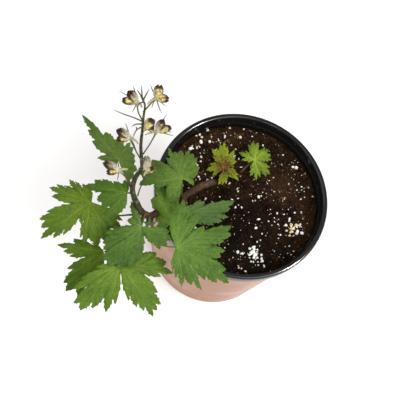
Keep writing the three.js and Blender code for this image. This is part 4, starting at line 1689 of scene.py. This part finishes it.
    def net(self, loop: Array, veins: Sequence[Vein]) -> tuple[Array, Array]:
        """Fills the outline with triangles that follow its veins.

        Args:
            loop: The outline.
            veins: The veins.

        Returns:
            The spots in plan and the triangles.
        """
        low, high = loop.min(axis=0), loop.max(axis=0)
        chains = [even_steps(vein.line, self.VEIN_STEP) for vein in veins]
        ribs = np.vstack(chains)
        aside = []
        for chain in chains:
            ahead = np.gradient(chain, axis=0)
            ahead /= np.maximum(norm(ahead, axis=1, keepdims=True), 1e-9)
            normal = np.column_stack([-ahead[:, 1], ahead[:, 0]])
            aside += [chain + self.VEIN_SIDE * normal, chain - self.VEIN_SIDE * normal]
        near = np.vstack(aside)
        fill = honeycomb(low, high, self.PITCH)
        fill = fill[norm(fill[:, None] - ribs[None], axis=2).min(axis=1) > self.FILL_ROOM]
        kept = [loop]
        for group, room in zip((ribs, near, fill), self.ROOMS):
            group = group[inside_loop(group, loop)]
            kept.append(group[distance_to_line(group, np.vstack([loop, loop[:1]]))[0] > room])
        spots = np.vstack(kept)
        ring = [(i, (i + 1) % len(loop)) for i in range(len(loop))]
        made = delaunay_2d_cdt([Vector(spot) for spot in spots], ring, [], 0, 1e-5, False)
        plan = np.array([tuple(spot) for spot in made[0]])
        faces = np.array([face for face in made[2] if len(face) == 3])
        return plan, faces[inside_loop(plan[faces].mean(axis=1), loop)]

    def sheet(self, scale: float = 1.0) -> Sheet:
        """The blade as a closed thin sheet with its traits.

        Args:
            scale: How strong its waves and quilting are.

        Returns:
            The sheet, in mm.
        """
        loop, veins = self.outline(), self.veins()
        plan, faces = self.net(loop, veins)
        margin = distance_to_line(plan, np.vstack([loop, loop[:1]]))[0]
        shown = np.zeros(len(plan))
        gap = np.full(len(plan), 99.0)
        for vein in veins:
            away, place = distance_to_line(plan, vein.line)
            width = vein.width * (1 - 0.5 * place)
            shown = np.maximum(shown, vein.strength * (1 - 0.45 * place) * np.exp(-((away / width) ** 2)))
            gap = np.minimum(gap, away)
        out = norm(plan - self.centre, axis=1)
        spread = np.clip(out / max(lobe.reach for lobe in self.leaf.lobes), 0, 1)
        free = np.clip(spread * 1.6, 0, 1)
        wave = self.WAVE * soft_noise(plan, 11, self.leaf.seed) * free
        swell = (1 - np.exp(-((gap / 1.5) ** 2))) * np.clip(margin / 1.5, 0, 1)
        quilt = self.QUILT * swell - self.SINK * shown
        curl = -self.CURL * np.exp(-margin / 0.9) * free
        heights = self.heights(plan) + scale * (wave + quilt + curl)
        seam = np.zeros(len(plan))
        for heading, distance in self.leaf.sinuses[1:-1]:
            crease = np.vstack([self.at(heading, 0.3 * distance), self.at(heading, distance)])
            away, place = distance_to_line(plan, crease)
            seam = np.maximum(seam, np.exp(-((away / (0.5 + 0.8 * place)) ** 2)) * (0.4 + 0.6 * place))
        heights -= scale * self.CREASE * seam
        # Painted shade: darkness for the skin in the furrows beside the veins and along the creases between
        # the lobes.
        crease_shade = np.maximum(0.7 * np.exp(-((gap / 0.8) ** 2)) * (1 - shown), seam)
        traits = {"vein": shown, "spread": spread, "crease_shade": crease_shade}
        body = np.clip(margin / 0.8, 0.35, 1) * self.THICKNESS
        return thicken(np.column_stack([plan, heights]), faces, body, traits)


PETIOLE_TAPER = (2.3, 1.3, 1.0, 1.0, 0.95, 0.9, 0.85, 0.75)


@dataclass(frozen=True)
class Leaf:
    """A whole leaf: skins, hub, petiole, lobes anticlockwise and the sinuses round them. In mm and degrees.

    cut is how deep the notches between fingers are, arch how high a lobe bows, and fold how far the blade
    falls from a rib for each millimetre out. wave is how strong its waves are, and stalk is the petiole's
    colour, where it isn't the blade's green.
    """

    node: str
    piece: str
    skin: LeafSkin
    hub: Point
    petiole: tuple[Point, ...]
    lobes: tuple[Lobe, ...]
    sinuses: tuple[tuple[float, float], ...]
    cut: float
    arch: float
    fold: float
    seed: int
    slot: str = "leaf"
    stalk_radius: float = 0.8
    wave: float = 1.0
    stalk: Shade | None = None

    def build(self, stalk_foot: Shade) -> None:
        """Builds and dresses the leaf.

        Args:
            stalk_foot: The colour of its petiole's foot.
        """
        upper, lower = self.skin.upper(self.piece + "_upper"), self.skin.lower(self.piece + "_under")
        blade = make_object(self.piece, Blade(self).sheet(self.wave), [upper, lower], 50)
        stalk_skin = StalkSkin(stalk_foot, self.stalk or self.skin.green).make(self.piece + "_petiole")
        radii = tuple(self.stalk_radius * share for share in PETIOLE_TAPER)
        grower = StalkGrower(self.piece + "_grower", stalk_skin)
        petiole = [Stalk(self.petiole, radii, 26)]
        stalk = grower.grow(self.piece + "_stalk", petiole, Depth=0.00006, Grain=0.00012)
        seat(join(self.piece, [blade, stalk]), self.slot, self.node)


# ---- Stem and blooms ----


@dataclass(frozen=True)
class FloweringStem:
    """The stem, its narrow bracts and the unopened filaments at its tip. In mm."""

    path: tuple[Point, ...]
    radii: tuple[float, ...]
    bracts: tuple[tuple[Point, ...], ...]
    joints: tuple[float, ...] = (0.32, 0.385, 0.42, 0.47)
    swelling: float = 0.35
    swelling_share: float = 0.012
    bract_radii: tuple[float, ...] = (0.62, 0.5, 0.42, 0.18)
    bract_skin: StalkSkin = StalkSkin(Shade(86, 90, 70), Shade(74, 64, 66))

    def swollen(self) -> tuple[float, ...]:
        """The radii with a slight swelling at each joint.

        Returns:
            Evenly spaced radii from foot to tip.
        """
        places = np.linspace(0, 1, 120)
        widths = np.interp(places, np.linspace(0, 1, len(self.radii)), self.radii)
        for joint in self.joints:
            widths += self.swelling * np.exp(-(((places - joint) / self.swelling_share) ** 2))
        return tuple(widths)

    def build(self, down: DownGrower) -> None:
        """Builds and dresses the stem.

        Args:
            down: Grows its hairs.
        """
        bark = StalkGrower("stem_grower", StemSkin().make())
        line = [Stalk(self.path, self.swollen(), 220)]
        trunk = bark.grow("stem_trunk", line, Sides=28, Depth=0.00011, Grain=0.0004)
        thin = StalkGrower("bract_grower", self.bract_skin.make("bract_skin"))
        bracts = [Stalk(points, self.bract_radii, 14) for points in self.bracts]
        needles = thin.grow("stem_bracts", bracts, Sides=7, Grain=0.0001)
        hairs = down.grow("stem_down", trunk, Hairs=4e5, Length=0.0008, Seed=4)
        seat(join("spike_stem", [trunk, needles, hairs]), "stem", "flowering_stem")


@dataclass(frozen=True)
class Cup:
    """One of a bloom's two cups of closed sepals. Sizes are in mm and degrees."""

    radius: float
    yellow: bool
    sepals: int = 3
    half_width: float = 68.0
    profile: tuple[float, ...] = (0.32, 0.76, 0.98, 1.04, 1.0, 0.8, 0.3)


HOOD = Cup(3.2, False)
LIP = Cup(2.75, True)


@dataclass(frozen=True)
class Bloom:
    """An opening bloom: its stalk, base, the tips of its hood and lip, its spur and its bracteoles. In mm.

    window is the part of the hood that is pale, from 0 at its back to 1 at its mouth, and shade is how dark
    its mouth and tips are.
    """

    node: str
    piece: str
    pedicel: tuple[Point, ...]
    base: Point
    hood: Point
    lip: Point
    spur: Point
    bracteoles: tuple[Point, ...]
    window: tuple[float, float] = (0.42, 0.54)
    shade: float = 1.0

    ROWS = 22
    COLUMNS = 14
    THICKNESS = 0.4
    SOFT = 0.08
    STALK_RADII = (0.62, 0.52, 0.5, 0.55, 0.8)
    SPUR_RADII = (1.2, 1.0, 0.75, 0.45)
    NECK_RADII = (0.6, 1.3, 1.8, 1.9, 1.3)
    ARM_RADII = (0.45, 0.4, 0.34, 0.14)

    def axes(self, tip: Point, other: Point) -> tuple[Array, Array, Array, float]:
        """A cup's directions.

        Args:
            tip: The cup's tip.
            other: The other cup's tip.

        Returns:
            The directions along its axis, away from the other cup and across, and then its length.
        """
        ahead = np.array(tip, float) - self.base
        length = float(norm(ahead))
        ahead /= length
        across = np.cross(ahead, np.array(tip, float) - other)
        across /= norm(across)
        return ahead, np.cross(across, ahead), across, length

    def tints(self, cup: Cup, angle: Array, u: Array, v: Array) -> dict[str, Array]:
        """How pale and how dark a sepal is at each corner.

        Args:
            cup: Its cup.
            angle: The way round the cup, 0 on the side away from the other cup.
            u: The way from base to tip, from 0 to 1.
            v: The way across the sepal, from −1 to 1.

        Returns:
            The traits for its skin.
        """
        mouth = (1 - np.cos(angle)) / 2
        rim = gone(np.abs(v), 0.64, 0.28) * gone(u, 0.3, 0.3)
        tip = gone(u, 0.74, 0.14)
        if cup.yellow:
            return {"pale": np.ones(len(u)), "dark": np.clip(0.9 * rim + tip, 0, 1), "reach": u}
        start, end = self.window
        pale = gone(mouth, start, self.SOFT) * gone(-mouth, -end, self.SOFT)
        # Painted shade: the hood darkens in its mouth, on the side that faces the lip.
        inside = gone(mouth, end, self.SOFT) * gone(u, 0.15, 0.2)
        dark = self.shade * np.clip(0.85 * inside + tip + 0.25 * rim, 0, 1)
        return {"pale": pale, "dark": dark, "reach": self.shade * u}

    def sepal(self, cup: Cup, tip: Point, other: Point, turn: float, seed: float) -> Sheet:
        """One cupped sepal, which tucks one edge under its neighbour.

        Args:
            cup: Its cup.
            tip: The tip of its cup.
            other: The tip of the other cup.
            turn: Where its middle stands round the cup, in radians.
            seed: Which crinkles it has.

        Returns:
            The closed shell.
        """
        rows, columns = self.ROWS, self.COLUMNS
        ahead, up, across, length = self.axes(tip, other)
        places = np.linspace(0, 1, rows + 1), np.linspace(-1, 1, columns + 1)
        u, v = (grid.ravel() for grid in np.meshgrid(*places, indexing="ij"))
        knots = np.linspace(0, 1, len(cup.profile))
        smooth = smooth_path([(float(k), r, 0.0) for k, r in zip(knots, cup.profile)], 40)
        out = cup.radius * np.interp(u, smooth[:, 0], smooth[:, 1])
        spread = math.radians(cup.half_width) * (0.45 + 0.55 * np.sin(math.pi * u) ** 0.6)
        angle = turn + spread * v
        out += 0.3 * v * np.sin(math.pi * u) + 0.16 * (1 - np.abs(v)) ** 3 * np.sin(math.pi * u)
        out += 0.22 * soft_noise(np.column_stack([u * 8, v * 5]), 2.0, seed)
        along = u * length * (1 - 0.05 * v * v)
        side = np.outer(np.cos(angle) * out, up) + np.outer(np.sin(angle) * out, across)
        spots = np.array(self.base) + np.outer(along, ahead) + side
        wide = columns + 1
        starts = [i * wide + j for i in range(rows) for j in range(columns)]
        faces = [face for a in starts for face in ((a, a + wide, a + wide + 1), (a, a + wide + 1, a + 1))]
        thickness = self.THICKNESS * (1 - 0.4 * np.abs(v))
        return thicken(spots, np.array(faces), thickness, self.tints(cup, angle, u, v))

    def crown(self, skin: Material) -> Object:
        """The sepals of both cups.

        Args:
            skin: What they are dressed in.

        Returns:
            The sepals as one mesh object.
        """
        sheets = []
        for cup, tip, other in ((HOOD, self.hood, self.lip), (LIP, self.lip, self.hood)):
            for i in range(cup.sepals):
                turn = 2 * math.pi * i / cup.sepals
                sheets.append(self.sepal(cup, tip, other, turn, 3 * cup.radius + i))
        whole = stacked(sheets)
        whole.skins = [0] * len(whole.skins)
        return make_object(self.piece, whole, [skin], 60)

    def build(self, skin: Material, stalks: StalkGrower, necks: StalkGrower, threads: StalkGrower,
              down: DownGrower) -> None:
        """Builds and dresses the bloom.

        Args:
            skin: The skin of its sepals.
            stalks: Grows its pedicel.
            necks: Grows the downy neck under its sepals, and its spur.
            threads: Grows its bracteoles.
            down: Grows its hairs.
        """
        base = np.array(self.base, float)
        hood, up, _, _ = self.axes(self.hood, self.lip)
        lip = self.axes(self.lip, self.hood)[0]
        root = tuple(base + 1.3 * (hood + lip))
        foot = np.array(self.pedicel[-2], float) - self.base
        start = tuple(base + 4.5 * foot / norm(foot))
        crown = self.crown(skin)
        stalk = Stalk((*self.pedicel[:-1], self.base), self.STALK_RADII, 22)
        bend = tuple((base + self.spur) / 2 + 0.6 * up)
        spur = Stalk((root, bend, self.spur), self.SPUR_RADII, 14)
        neck = Stalk((start, self.base, root), self.NECK_RADII, 16)
        arms = [Stalk((self.base, tuple((base + end) / 2 + 0.5 * up), end), self.ARM_RADII, 10)
                for end in self.bracteoles]
        pieces = [
            crown,
            stalks.grow(self.piece + "_stalk", [stalk], Sides=12, Grain=0.00012),
            necks.grow(self.piece + "_neck", [neck, spur], Sides=16, Ribs=7, Depth=0.00014, Grain=0.00018),
            threads.grow(self.piece + "_arms", arms, Sides=7, Grain=0.00008),
            down.grow(self.piece + "_down", crown, Hairs=7e5, Length=0.00045, Seed=7),
        ]
        seat(join(self.piece, pieces), "bloom", self.node)


def gone(values: Array, start: float, stretch: float) -> Array:
    """How far each value has gone over a stretch from its start, from 0 to 1."""
    return np.clip((values - start) / stretch, 0, 1)


def stacked(sheets: Sequence[Sheet]) -> Sheet:
    """Several sheets as one, without joining their corners.

    Args:
        sheets: The sheets.

    Returns:
        The one sheet.
    """
    faces, skins, start = [], [], 0
    for sheet in sheets:
        faces += [tuple(start + corner for corner in face) for face in sheet.faces]
        skins += sheet.skins
        start += len(sheet.corners)
    traits = {name: np.concatenate([sheet.traits[name] for sheet in sheets]) for name in sheets[0].traits}
    return Sheet(np.vstack([sheet.corners for sheet in sheets]), faces, skins, traits)


# ---- This plant ----

STEM = FloweringStem(
    path=((-17, 21, 112), (-20, 19.5, 130), (-26, 15.5, 144), (-40, 7, 152), (-58, -8, 161), (-74, -20, 169),
          (-89, -32, 178), (-96, -32, 185), (-102, -27, 194), (-107, -20, 207), (-106, -15, 220),
          (-102, -11, 234), (-104, -9, 250), (-106, -6, 265), (-107, -3, 284), (-108, -1, 303),
          (-109, -1, 321), (-112, -2, 334)),
    radii=(3.4, 3.4, 3.3, 3.2, 3.0, 2.9, 3.0, 2.8, 2.5, 2.2, 1.9, 1.7, 1.4, 1.2, 1.0, 0.8, 0.65, 0.45),
    bracts=(
        ((-107, -2, 297), (-114, -1, 301), (-122, 0, 304), (-130, 1, 308)),
        ((-107, -2, 294), (-113, -4, 297), (-116, -7, 299)),
        ((-107, -3, 292), (-112, -7, 294), (-115, -14, 295)),
        ((-112, -6.5, 294), (-113, -7, 299)),
        ((-111, -2, 329), (-114, -2, 338), (-117, -3, 346)),
        ((-112, -2, 332), (-113, -1, 339), (-114, 0, 347)),
        ((-111, -2, 331), (-110, -2, 339), (-109, -2, 346)),
        ((-110, -1, 326), (-113, -4, 330), (-115, -6, 331)),
    ),
)
STEM_FEET = ((-20, 19.5), (-16, 34), (3, 28))
PETIOLE_FOOT = Shade(82, 50, 34)
PEDICEL_SKIN = StalkSkin(Shade(70, 70, 38), Shade(84, 82, 54))
NECK_SKIN = StalkSkin(Shade(124, 130, 88), Shade(172, 166, 132))
THREAD_SKIN = StalkSkin(Shade(86, 84, 62), Shade(66, 54, 58))
LEAVES = (
    Leaf(
        "leaf_far_left", "far_left_leaf", LeafSkin(Shade(88, 115, 33)),
        hub=(-141, -21, 176),
        petiole=((-95, -32, 183), (-106, -31, 176), (-117, -30, 171), (-130, -25, 171),
                 (-141, -21, 175.5)),
        lobes=(
            Lobe(-4, ((109, 19), (122, 24), (128, 29))),
            Lobe(-6, ((143, 28), (147, 34), (156, 38), (169, 33))),
            Lobe(-13, ((190, 37), (196, 44), (206, 45), (216, 50), (225, 42), (232, 35))),
            Lobe(-12, ((251, 20), (256, 30), (263, 34))),
            Lobe(-9, ((284, 36), (297, 37))),
            Lobe(-4, ((325, 34), (335, 32))),
        ),
        sinuses=((72, 9), (137, 20), (185, 16), (238, 16), (270, 29), (310, 28), (345, 16)),
        cut=4, arch=2.5, fold=0.12, seed=1,
    ),
    Leaf(
        "leaf_mid_left", "mid_left_leaf", LeafSkin(Shade(72, 103, 31)),
        hub=(-111, -21, 202),
        petiole=((-105, -20, 200), (-108, -20.5, 201.5), (-111, -21, 201.5)),
        lobes=(
            Lobe(1, ((98, 12),)),
            Lobe(-6, ((135, 16), (147, 25), (153, 30), (167, 37))),
            Lobe(-9, ((189, 25), (207, 23))),
            Lobe(-11, ((225, 26), (246, 19))),
        ),
        sinuses=((65, 4), (117, 9), (176, 21), (217, 17), (271, 9)),
        cut=1.5, arch=2, fold=0.25, seed=2,
    ),
    Leaf(
        "leaf_upper_left", "upper_left_leaf", LeafSkin(Shade(79, 104, 40)),
        hub=(-119, 4, 214),
        petiole=((-106, -21, 205), (-111, -12, 207), (-116, -2, 211), (-119, 4, 213.5)),
        lobes=(
            Lobe(-5, ((-64, 21), (-49, 20), (-31, 18))),
            Lobe(1, ((-4, 14), (15, 14))),
            Lobe(5, ((38, 15), (57, 17))),
            Lobe(8, ((86, 18), (117, 25), (131, 48), (139, 35), (147, 27))),
            Lobe(-4, ((173, 18),)),
            Lobe(-3, ((240, 13),)),
        ),
        sinuses=((-72, 6), (-16, 13), (27, 12), (69, 11), (160, 11), (204, 8), (254, 5)),
        cut=1.5, arch=2, fold=-0.08, seed=3,
    ),
    Leaf(
        "leaf_rim_back", "rim_back_leaf", LeafSkin(Shade(84, 113, 41)),
        hub=(-63, -3, 196),
        petiole=((-58, -8, 162), (-60, -8, 174), (-62, -6, 190), (-63, -3, 195.5)),
        lobes=(
            Lobe(-4, ((-24, 12),)),
            Lobe(3, ((34, 19), (55, 24), (66, 25), (77, 27))),
            Lobe(2, ((92, 26), (105, 25), (113, 30), (127, 23))),
            Lobe(-6, ((146, 31), (168, 36), (188, 37), (198, 26))),
            Lobe(-7, ((240, 22), (258, 22))),
        ),
        sinuses=((-32, 4), (6, 10), (84, 21), (135, 12), (206, 15), (264, 8)),
        cut=2, arch=1.5, fold=0.12, seed=4,
    ),
    Leaf(
        # Painted light: the folded leaf's green is set lighter than the other leaves' to make up for the
        # shade on it.
        "leaf_folded", "folded_leaf", LeafSkin(Shade(97, 130, 46)),
        hub=(-70, -38, 180),
        petiole=((-57, -9, 165), (-62, -22, 170), (-67, -33, 176), (-70, -38, 179.5)),
        lobes=(
            Lobe(1, ((57, 19), (79, 26))),
            Lobe(5, ((103, 34), (113, 36), (131, 28))),
            Lobe(-8, ((161, 15), (194, 13), (219, 9))),
        ),
        sinuses=((52, 4), (94, 20), (142, 14), (226, 4)),
        cut=2, arch=1, fold=0.3, seed=5,
    ),
    Leaf(
        "leaf_centre", "centre_leaf", LeafSkin(Shade(77, 108, 40)),
        hub=(-98, -47, 192),
        petiole=((-94, -33, 187), (-96, -40, 188), (-98, -47, 191.5)),
        lobes=(
            Lobe(-7, ((100, 13), (107, 27))),
            Lobe(-2, ((155, 13),)),
            Lobe(-8, ((182, 22), (187, 30), (201, 34), (210, 36))),
            Lobe(-12, ((218, 41), (229, 42), (242, 38))),
            Lobe(-12, ((256, 34), (270, 27))),
            Lobe(-1, ((302, 18), (309, 25), (323, 27), (339, 28), (354, 25))),
        ),
        sinuses=((93, 4), (128, 12), (172, 8), (214, 33), (248, 32), (288, 7), (358, 8)),
        cut=2, arch=2, fold=0.1, seed=6,
    ),
    Leaf(
        "leaf_right", "right_leaf", LeafSkin(Shade(81, 111, 50)),
        hub=(-59, -29, 172),
        petiole=((-55, -8, 163), (-55, -17, 166), (-59, -29, 171.5)),
        lobes=(
            Lobe(-5, ((-23, 19), (-14, 29), (-5, 36))),
            Lobe(-3, ((2, 42),)),
            Lobe(2, ((12, 45), (19, 51))),
            Lobe(3, ((36, 24), (44, 22), (54, 13))),
        ),
        sinuses=((-31, 7), (-1, 34), (7, 36), (28, 21), (62, 7)),
        cut=1.5, arch=2, fold=0.15, seed=7,
    ),
    Leaf(
        "leaf_rim_front", "rim_front_leaf", LeafSkin(Shade(84, 117, 42)),
        hub=(-68, -64, 192),
        petiole=((-87, -32, 175), (-87, -45, 177), (-82, -58, 183), (-75, -63, 189), (-68, -64, 191.5)),
        lobes=(
            Lobe(-12, ((-107, 17), (-100, 21), (-92, 25), (-81, 32))),
            Lobe(-12, ((-67, 33), (-57, 41))),
            Lobe(-8, ((-47, 36), (-39, 45), (-32, 54), (-21, 46))),
            Lobe(-3, ((-10, 39), (-2, 42))),
            Lobe(2, ((9, 42), (14, 49), (23, 52), (39, 30))),
            Lobe(4, ((53, 32), (59, 35))),
            Lobe(4, ((74, 38), (82, 42), (100, 29))),
        ),
        sinuses=((-115, 9), (-74, 24), (-53, 17), (-16, 31), (5, 30), (47, 11), (68, 27), (118, 11)),
        cut=2.5, arch=2.5, fold=0.12, seed=8,
    ),
    Leaf(
        "leaf_bottom", "bottom_leaf", LeafSkin(Shade(92, 121, 38)),
        hub=(-115, -76, 176),
        petiole=((-90, -33, 175), (-93, -46, 171), (-102, -62, 171), (-115, -76, 175.5)),
        lobes=(
            Lobe(-10, ((185, 19), (200, 34), (206, 43))),
            Lobe(-13, ((219, 48), (229, 48), (238, 41))),
            Lobe(-15, ((255, 39), (266, 32))),
            Lobe(-14, ((286, 31), (294, 38), (300, 43), (306, 51), (313, 49), (320, 48), (327, 40))),
            Lobe(-3, ((345, 37), (353, 47), (366, 41), (381, 34), (397, 25))),
        ),
        sinuses=((168, 6), (214, 31), (246, 29), (279, 7), (339, 22), (408, 12)),
        cut=3, arch=3, fold=0.1, seed=9,
    ),
    Leaf(
        "leaf_lower_left", "lower_left_leaf", LeafSkin(Shade(80, 107, 29)),
        hub=(-127, -60, 160),
        petiole=((-95, -34, 179), (-103, -45, 170), (-115, -54, 161), (-127, -60, 159.5)),
        lobes=(
            Lobe(-5, ((144, 14), (155, 29), (170, 41), (179, 35), (187, 30))),
            Lobe(-12, ((203, 34), (216, 42), (225, 45))),
            Lobe(-14, ((239, 42), (254, 31))),
        ),
        sinuses=((120, 2), (196, 16), (232, 37), (272, 13)),
        cut=3, arch=2, fold=0.15, seed=10,
    ),
    Leaf(
        "seedling_bronze", "bronze_seedling",
        LeafSkin(Shade(148, 172, 34), Shade(60, 28, 8), Shade(152, 104, 52), 1.05),
        hub=(-15, 29, 150),
        petiole=((-16, 34, 126), (-16, 34, 142), (-15, 29, 149.5)),
        lobes=(
            Lobe(-2, ((-108, 18), (-96, 17), (-81, 16), (-72, 12))),
            Lobe(0, ((-54, 14), (-43, 19), (-26, 16), (-13, 12))),
            Lobe(1, ((8, 10),)),
            Lobe(2, ((28, 15), (43, 16), (59, 21))),
            Lobe(3, ((79, 22), (88, 26), (97, 24))),
            Lobe(1, ((108, 21), (121, 22), (134, 15))),
            Lobe(-1, ((163, 14), (190, 17), (217, 14))),
        ),
        sinuses=((-116, 5), (-63, 6), (-2, 5), (18, 5), (69, 10), (102, 12), (147, 6), (229, 6)),
        cut=3, arch=1.5, fold=0.2, seed=13,
        slot="seedling_bronze", wave=0.7,
    ),
    Leaf(
        "seedling_green", "green_seedling", LeafSkin(Shade(112, 138, 36)),
        hub=(15, 37, 152),
        petiole=((3, 28, 126), (3, 28, 142), (8, 32, 148), (15, 37, 151.5)),
        lobes=(
            Lobe(-4, ((-118, 10), (-106, 16), (-85, 19), (-70, 17))),
            Lobe(-3, ((-52, 19), (-38, 20), (-20, 17))),
            Lobe(-1, ((7, 18), (24, 19), (41, 20), (53, 19))),
            Lobe(0, ((65, 13), (76, 20), (92, 20), (107, 18))),
            Lobe(0, ((132, 13), (153, 17), (182, 13), (200, 8))),
        ),
        sinuses=((-126, 5), (-61, 8), (-7, 5), (59, 5), (120, 5), (208, 3)),
        cut=3, arch=1.5, fold=0.12, seed=14,
        slot="seedling_green", wave=0.7, stalk=Shade(92, 72, 40),
    ),
    Leaf(
        "leaf_curled_young", "curled_young_leaf", LeafSkin(Shade(88, 110, 60)),
        hub=(-90, -42, 182),
        petiole=((-90, -34, 181), (-90, -39, 181), (-90, -42, 182)),
        lobes=(
            Lobe(2, ((-30, 5),)),
            Lobe(3, ((20, 6),)),
            Lobe(4, ((90, 6),)),
            Lobe(3, ((160, 6),)),
            Lobe(2, ((210, 5),)),
        ),
        sinuses=((-50, 2), (-5, 3), (55, 3), (125, 3), (185, 3), (235, 2)),
        cut=0.5, arch=0.5, fold=-0.4, seed=12,
        wave=0.4,
    ),
)
BLOOMS = (
    Bloom(
        "bloom_top_left", "top_left_bloom",
        pedicel=((-108, -2, 299), (-112, 1, 306), (-114, 3, 313)),
        base=(-114, 5, 314.5), hood=(-120.5, 9, 322), lip=(-124.5, 5, 316), spur=(-110, 1.5, 313),
        bracteoles=((-127, 9, 321), (-118, 11, 327), (-117, -2, 311)),
    ),
    Bloom(
        "bloom_top_right", "top_right_bloom",
        pedicel=((-109, -1, 311), (-105, 2, 317), (-102, 4, 321)),
        base=(-101, 5, 322), hood=(-99, 11, 330), lip=(-92.5, 3, 325), spur=(-107, 1, 319),
        bracteoles=((-106, 11, 330), (-94, 0, 320), (-104, -2, 319), (-97, -5, 319)),
        window=(0.3, 0.95),
    ),
    Bloom(
        "bloom_front", "front_bloom",
        pedicel=((-106, -4, 286), (-105, -5, 291), (-105, -4.5, 294)),
        base=(-105, -4.5, 295), hood=(-101, -2.5, 303), lip=(-100, -6.5, 299), spur=(-106, -6, 290),
        bracteoles=((-101, -9, 294), (-100, 2, 295)),
        window=(-0.08, 0.95),
    ),
    Bloom(
        "bloom_right", "right_bloom",
        pedicel=((-103, -8, 254), (-99, -4, 264), (-96, 0, 275)),
        base=(-95, 1, 277), hood=(-91, 6.5, 286), lip=(-84.5, 3, 281), spur=(-104, -2, 276),
        bracteoles=((-83, -4, 281), (-84, 0, 279), (-89, 9, 291)),
    ),
    Bloom(
        "bloom_left", "left_bloom",
        pedicel=((-104, -9, 246), (-108, -7, 254), (-114, -2, 266)),
        base=(-115, -1, 268), hood=(-125, 0.5, 277), lip=(-124.5, -4, 270), spur=(-108, -5, 266),
        bracteoles=((-119, 6, 278), (-109, -8, 260)),
    ),
    Bloom(
        "bloom_lower_left", "lower_left_bloom",
        pedicel=((-107, -18, 211), (-113, -16, 222), (-119, -13, 230)),
        base=(-120, -13, 231), hood=(-133, -10, 239), lip=(-130, -16, 233), spur=(-113, -12, 232),
        bracteoles=((-122, -7, 238), (-121, -20, 226), (-113, -14, 228)),
    ),
    Bloom(
        "bloom_lower_right", "lower_right_bloom",
        pedicel=((-102, -23, 202), (-101, -20, 212), (-98, -16, 225), (-97.5, -14, 234)),
        base=(-97.5, -14, 235), hood=(-99.5, -6, 246), lip=(-94, -13.5, 241), spur=(-100, -17, 231),
        bracteoles=((-89, -9, 240), (-91, -16, 235)), shade=0.45,
    ),
)

# ---- Studio ----


@dataclass(frozen=True)
class SoftLamp:
    """A square soft lamp: where it stands, what it looks at, its size in metres and its power in watts.

    A glint lamp shows in glossy reflections only.
    """

    name: str
    place: Point
    target: Point
    size: float
    power: float
    tint: Point = (1.0, 1.0, 1.0)
    glint: bool = False

    def hang(self) -> None:
        """Hangs the lamp."""
        lamp = bpy.data.lights.new(self.name, "AREA")
        lamp.size = self.size
        lamp.energy = self.power
        lamp.color = self.tint
        held = in_scene(bpy.data.objects.new(self.name, lamp))
        held.location = self.place
        held.visible_diffuse = not self.glint
        held.rotation_euler = (Vector(self.target) - Vector(self.place)).to_track_quat("-Z", "Y").to_euler()


@dataclass(frozen=True)
class Studio:
    """A pale studio: its floor in mm, soft lamps, even sky, and the camera over the plant in mm."""

    lamps: tuple[SoftLamp, ...]
    sky: float = 0.66
    eye: Point = (-161.5, -250.0, 789.3)
    right: Point = (0.9818, -0.0333, 0.187)
    up: Point = (-0.0333, 0.9391, 0.342)
    forward: Point = (0.187, 0.342, -0.9209)
    lens: float = 64.9
    sensor: float = 36.0
    paper: Shade = Shade(250, 250, 249)
    cloud: Shade = Shade(247, 247, 246)
    reach: float = 900.0
    drop: float = 0.5

    def lay_floor(self) -> None:
        """Lays the plain pale floor."""
        skin = Finish("studio_paper")
        colour = skin.mix(self.paper, self.cloud, skin.grain(160, 2))
        sides = ((-1, -1), (1, -1), (1, 1), (-1, 1))
        corners = np.array([(x * self.reach, y * self.reach, -self.drop) for x, y in sides])
        sheet = Sheet(corners, [(0, 1, 2, 3)], [0], {})
        make_object("studio_floor", sheet, [skin.done(colour, 0.9)])

    def light(self) -> None:
        """Hangs the lamps and lights the sky."""
        for lamp in self.lamps:
            lamp.hang()
        world = bpy.data.worlds.new("pale_sky")
        world.use_nodes = True
        tree = NodeTree(world.node_tree)
        world.node_tree.nodes.clear()
        glow = tree.node("ShaderNodeBackground", {}, {"Color": (1.0, 1.0, 1.0, 1.0), "Strength": self.sky})
        tree.node("ShaderNodeOutputWorld", {}, {"Surface": glow.outputs[0]})
        bpy.context.scene.world = world

    def aim(self) -> None:
        """Sets the camera and plain colour."""
        lens = bpy.data.cameras.new("plant_camera")
        lens.lens = self.lens
        lens.sensor_width = self.sensor
        held = in_scene(bpy.data.objects.new("plant_camera", lens))
        turn = Matrix((self.right, self.up, tuple(-v for v in self.forward))).transposed()
        square = turn.to_quaternion().to_matrix().to_4x4()
        held.matrix_world = Matrix.Translation(Vector(self.eye) * MM) @ square
        bpy.context.scene.camera = held
        bpy.context.scene.view_settings.view_transform = "Standard"


STUDIO = Studio(
    lamps=(
        SoftLamp("key_lamp", (0.75, -0.85, 1.5), (-0.03, 0.0, 0.15), 1.3, 25.0, (1.0, 0.995, 0.985)),
        SoftLamp("fill_lamp", (-1.1, 0.1, 1.4), (-0.03, 0.0, 0.15), 1.4, 12.0, (0.985, 0.99, 1.0)),
        SoftLamp("lip_glint", (0.79, -0.32, 1.19), (0.042, -0.069, 0.16), 0.14, 60.0, glint=True),
        SoftLamp("ledge_glint", (-0.18, -0.6, 1.33), (0.03, 0.07, 0.15), 0.14, 3.0, glint=True),
    ),
)


def main() -> None:
    """Builds and dresses the whole plant and its studio."""
    logging.basicConfig(level=logging.INFO, format="%(name)s %(message)s")
    pot = NurseryPot()
    pot.build()
    SoilBed(pot, STEM_FEET).build()
    down = DownGrower(Down().make())
    STEM.build(down)
    for leaf in LEAVES:
        leaf.build(PETIOLE_FOOT)
    skin = SepalSkin().make()
    stalks = StalkGrower("pedicel_grower", PEDICEL_SKIN.make("pedicel_skin"))
    necks = StalkGrower("neck_grower", NECK_SKIN.make("neck_skin"))
    threads = StalkGrower("thread_grower", THREAD_SKIN.make("thread_skin"))
    for bloom in BLOOMS:
        bloom.build(skin, stalks, necks, threads, down)
    STUDIO.lay_floor()
    STUDIO.light()
    STUDIO.aim()
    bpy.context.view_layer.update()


if __name__ == "__main__":
    main()
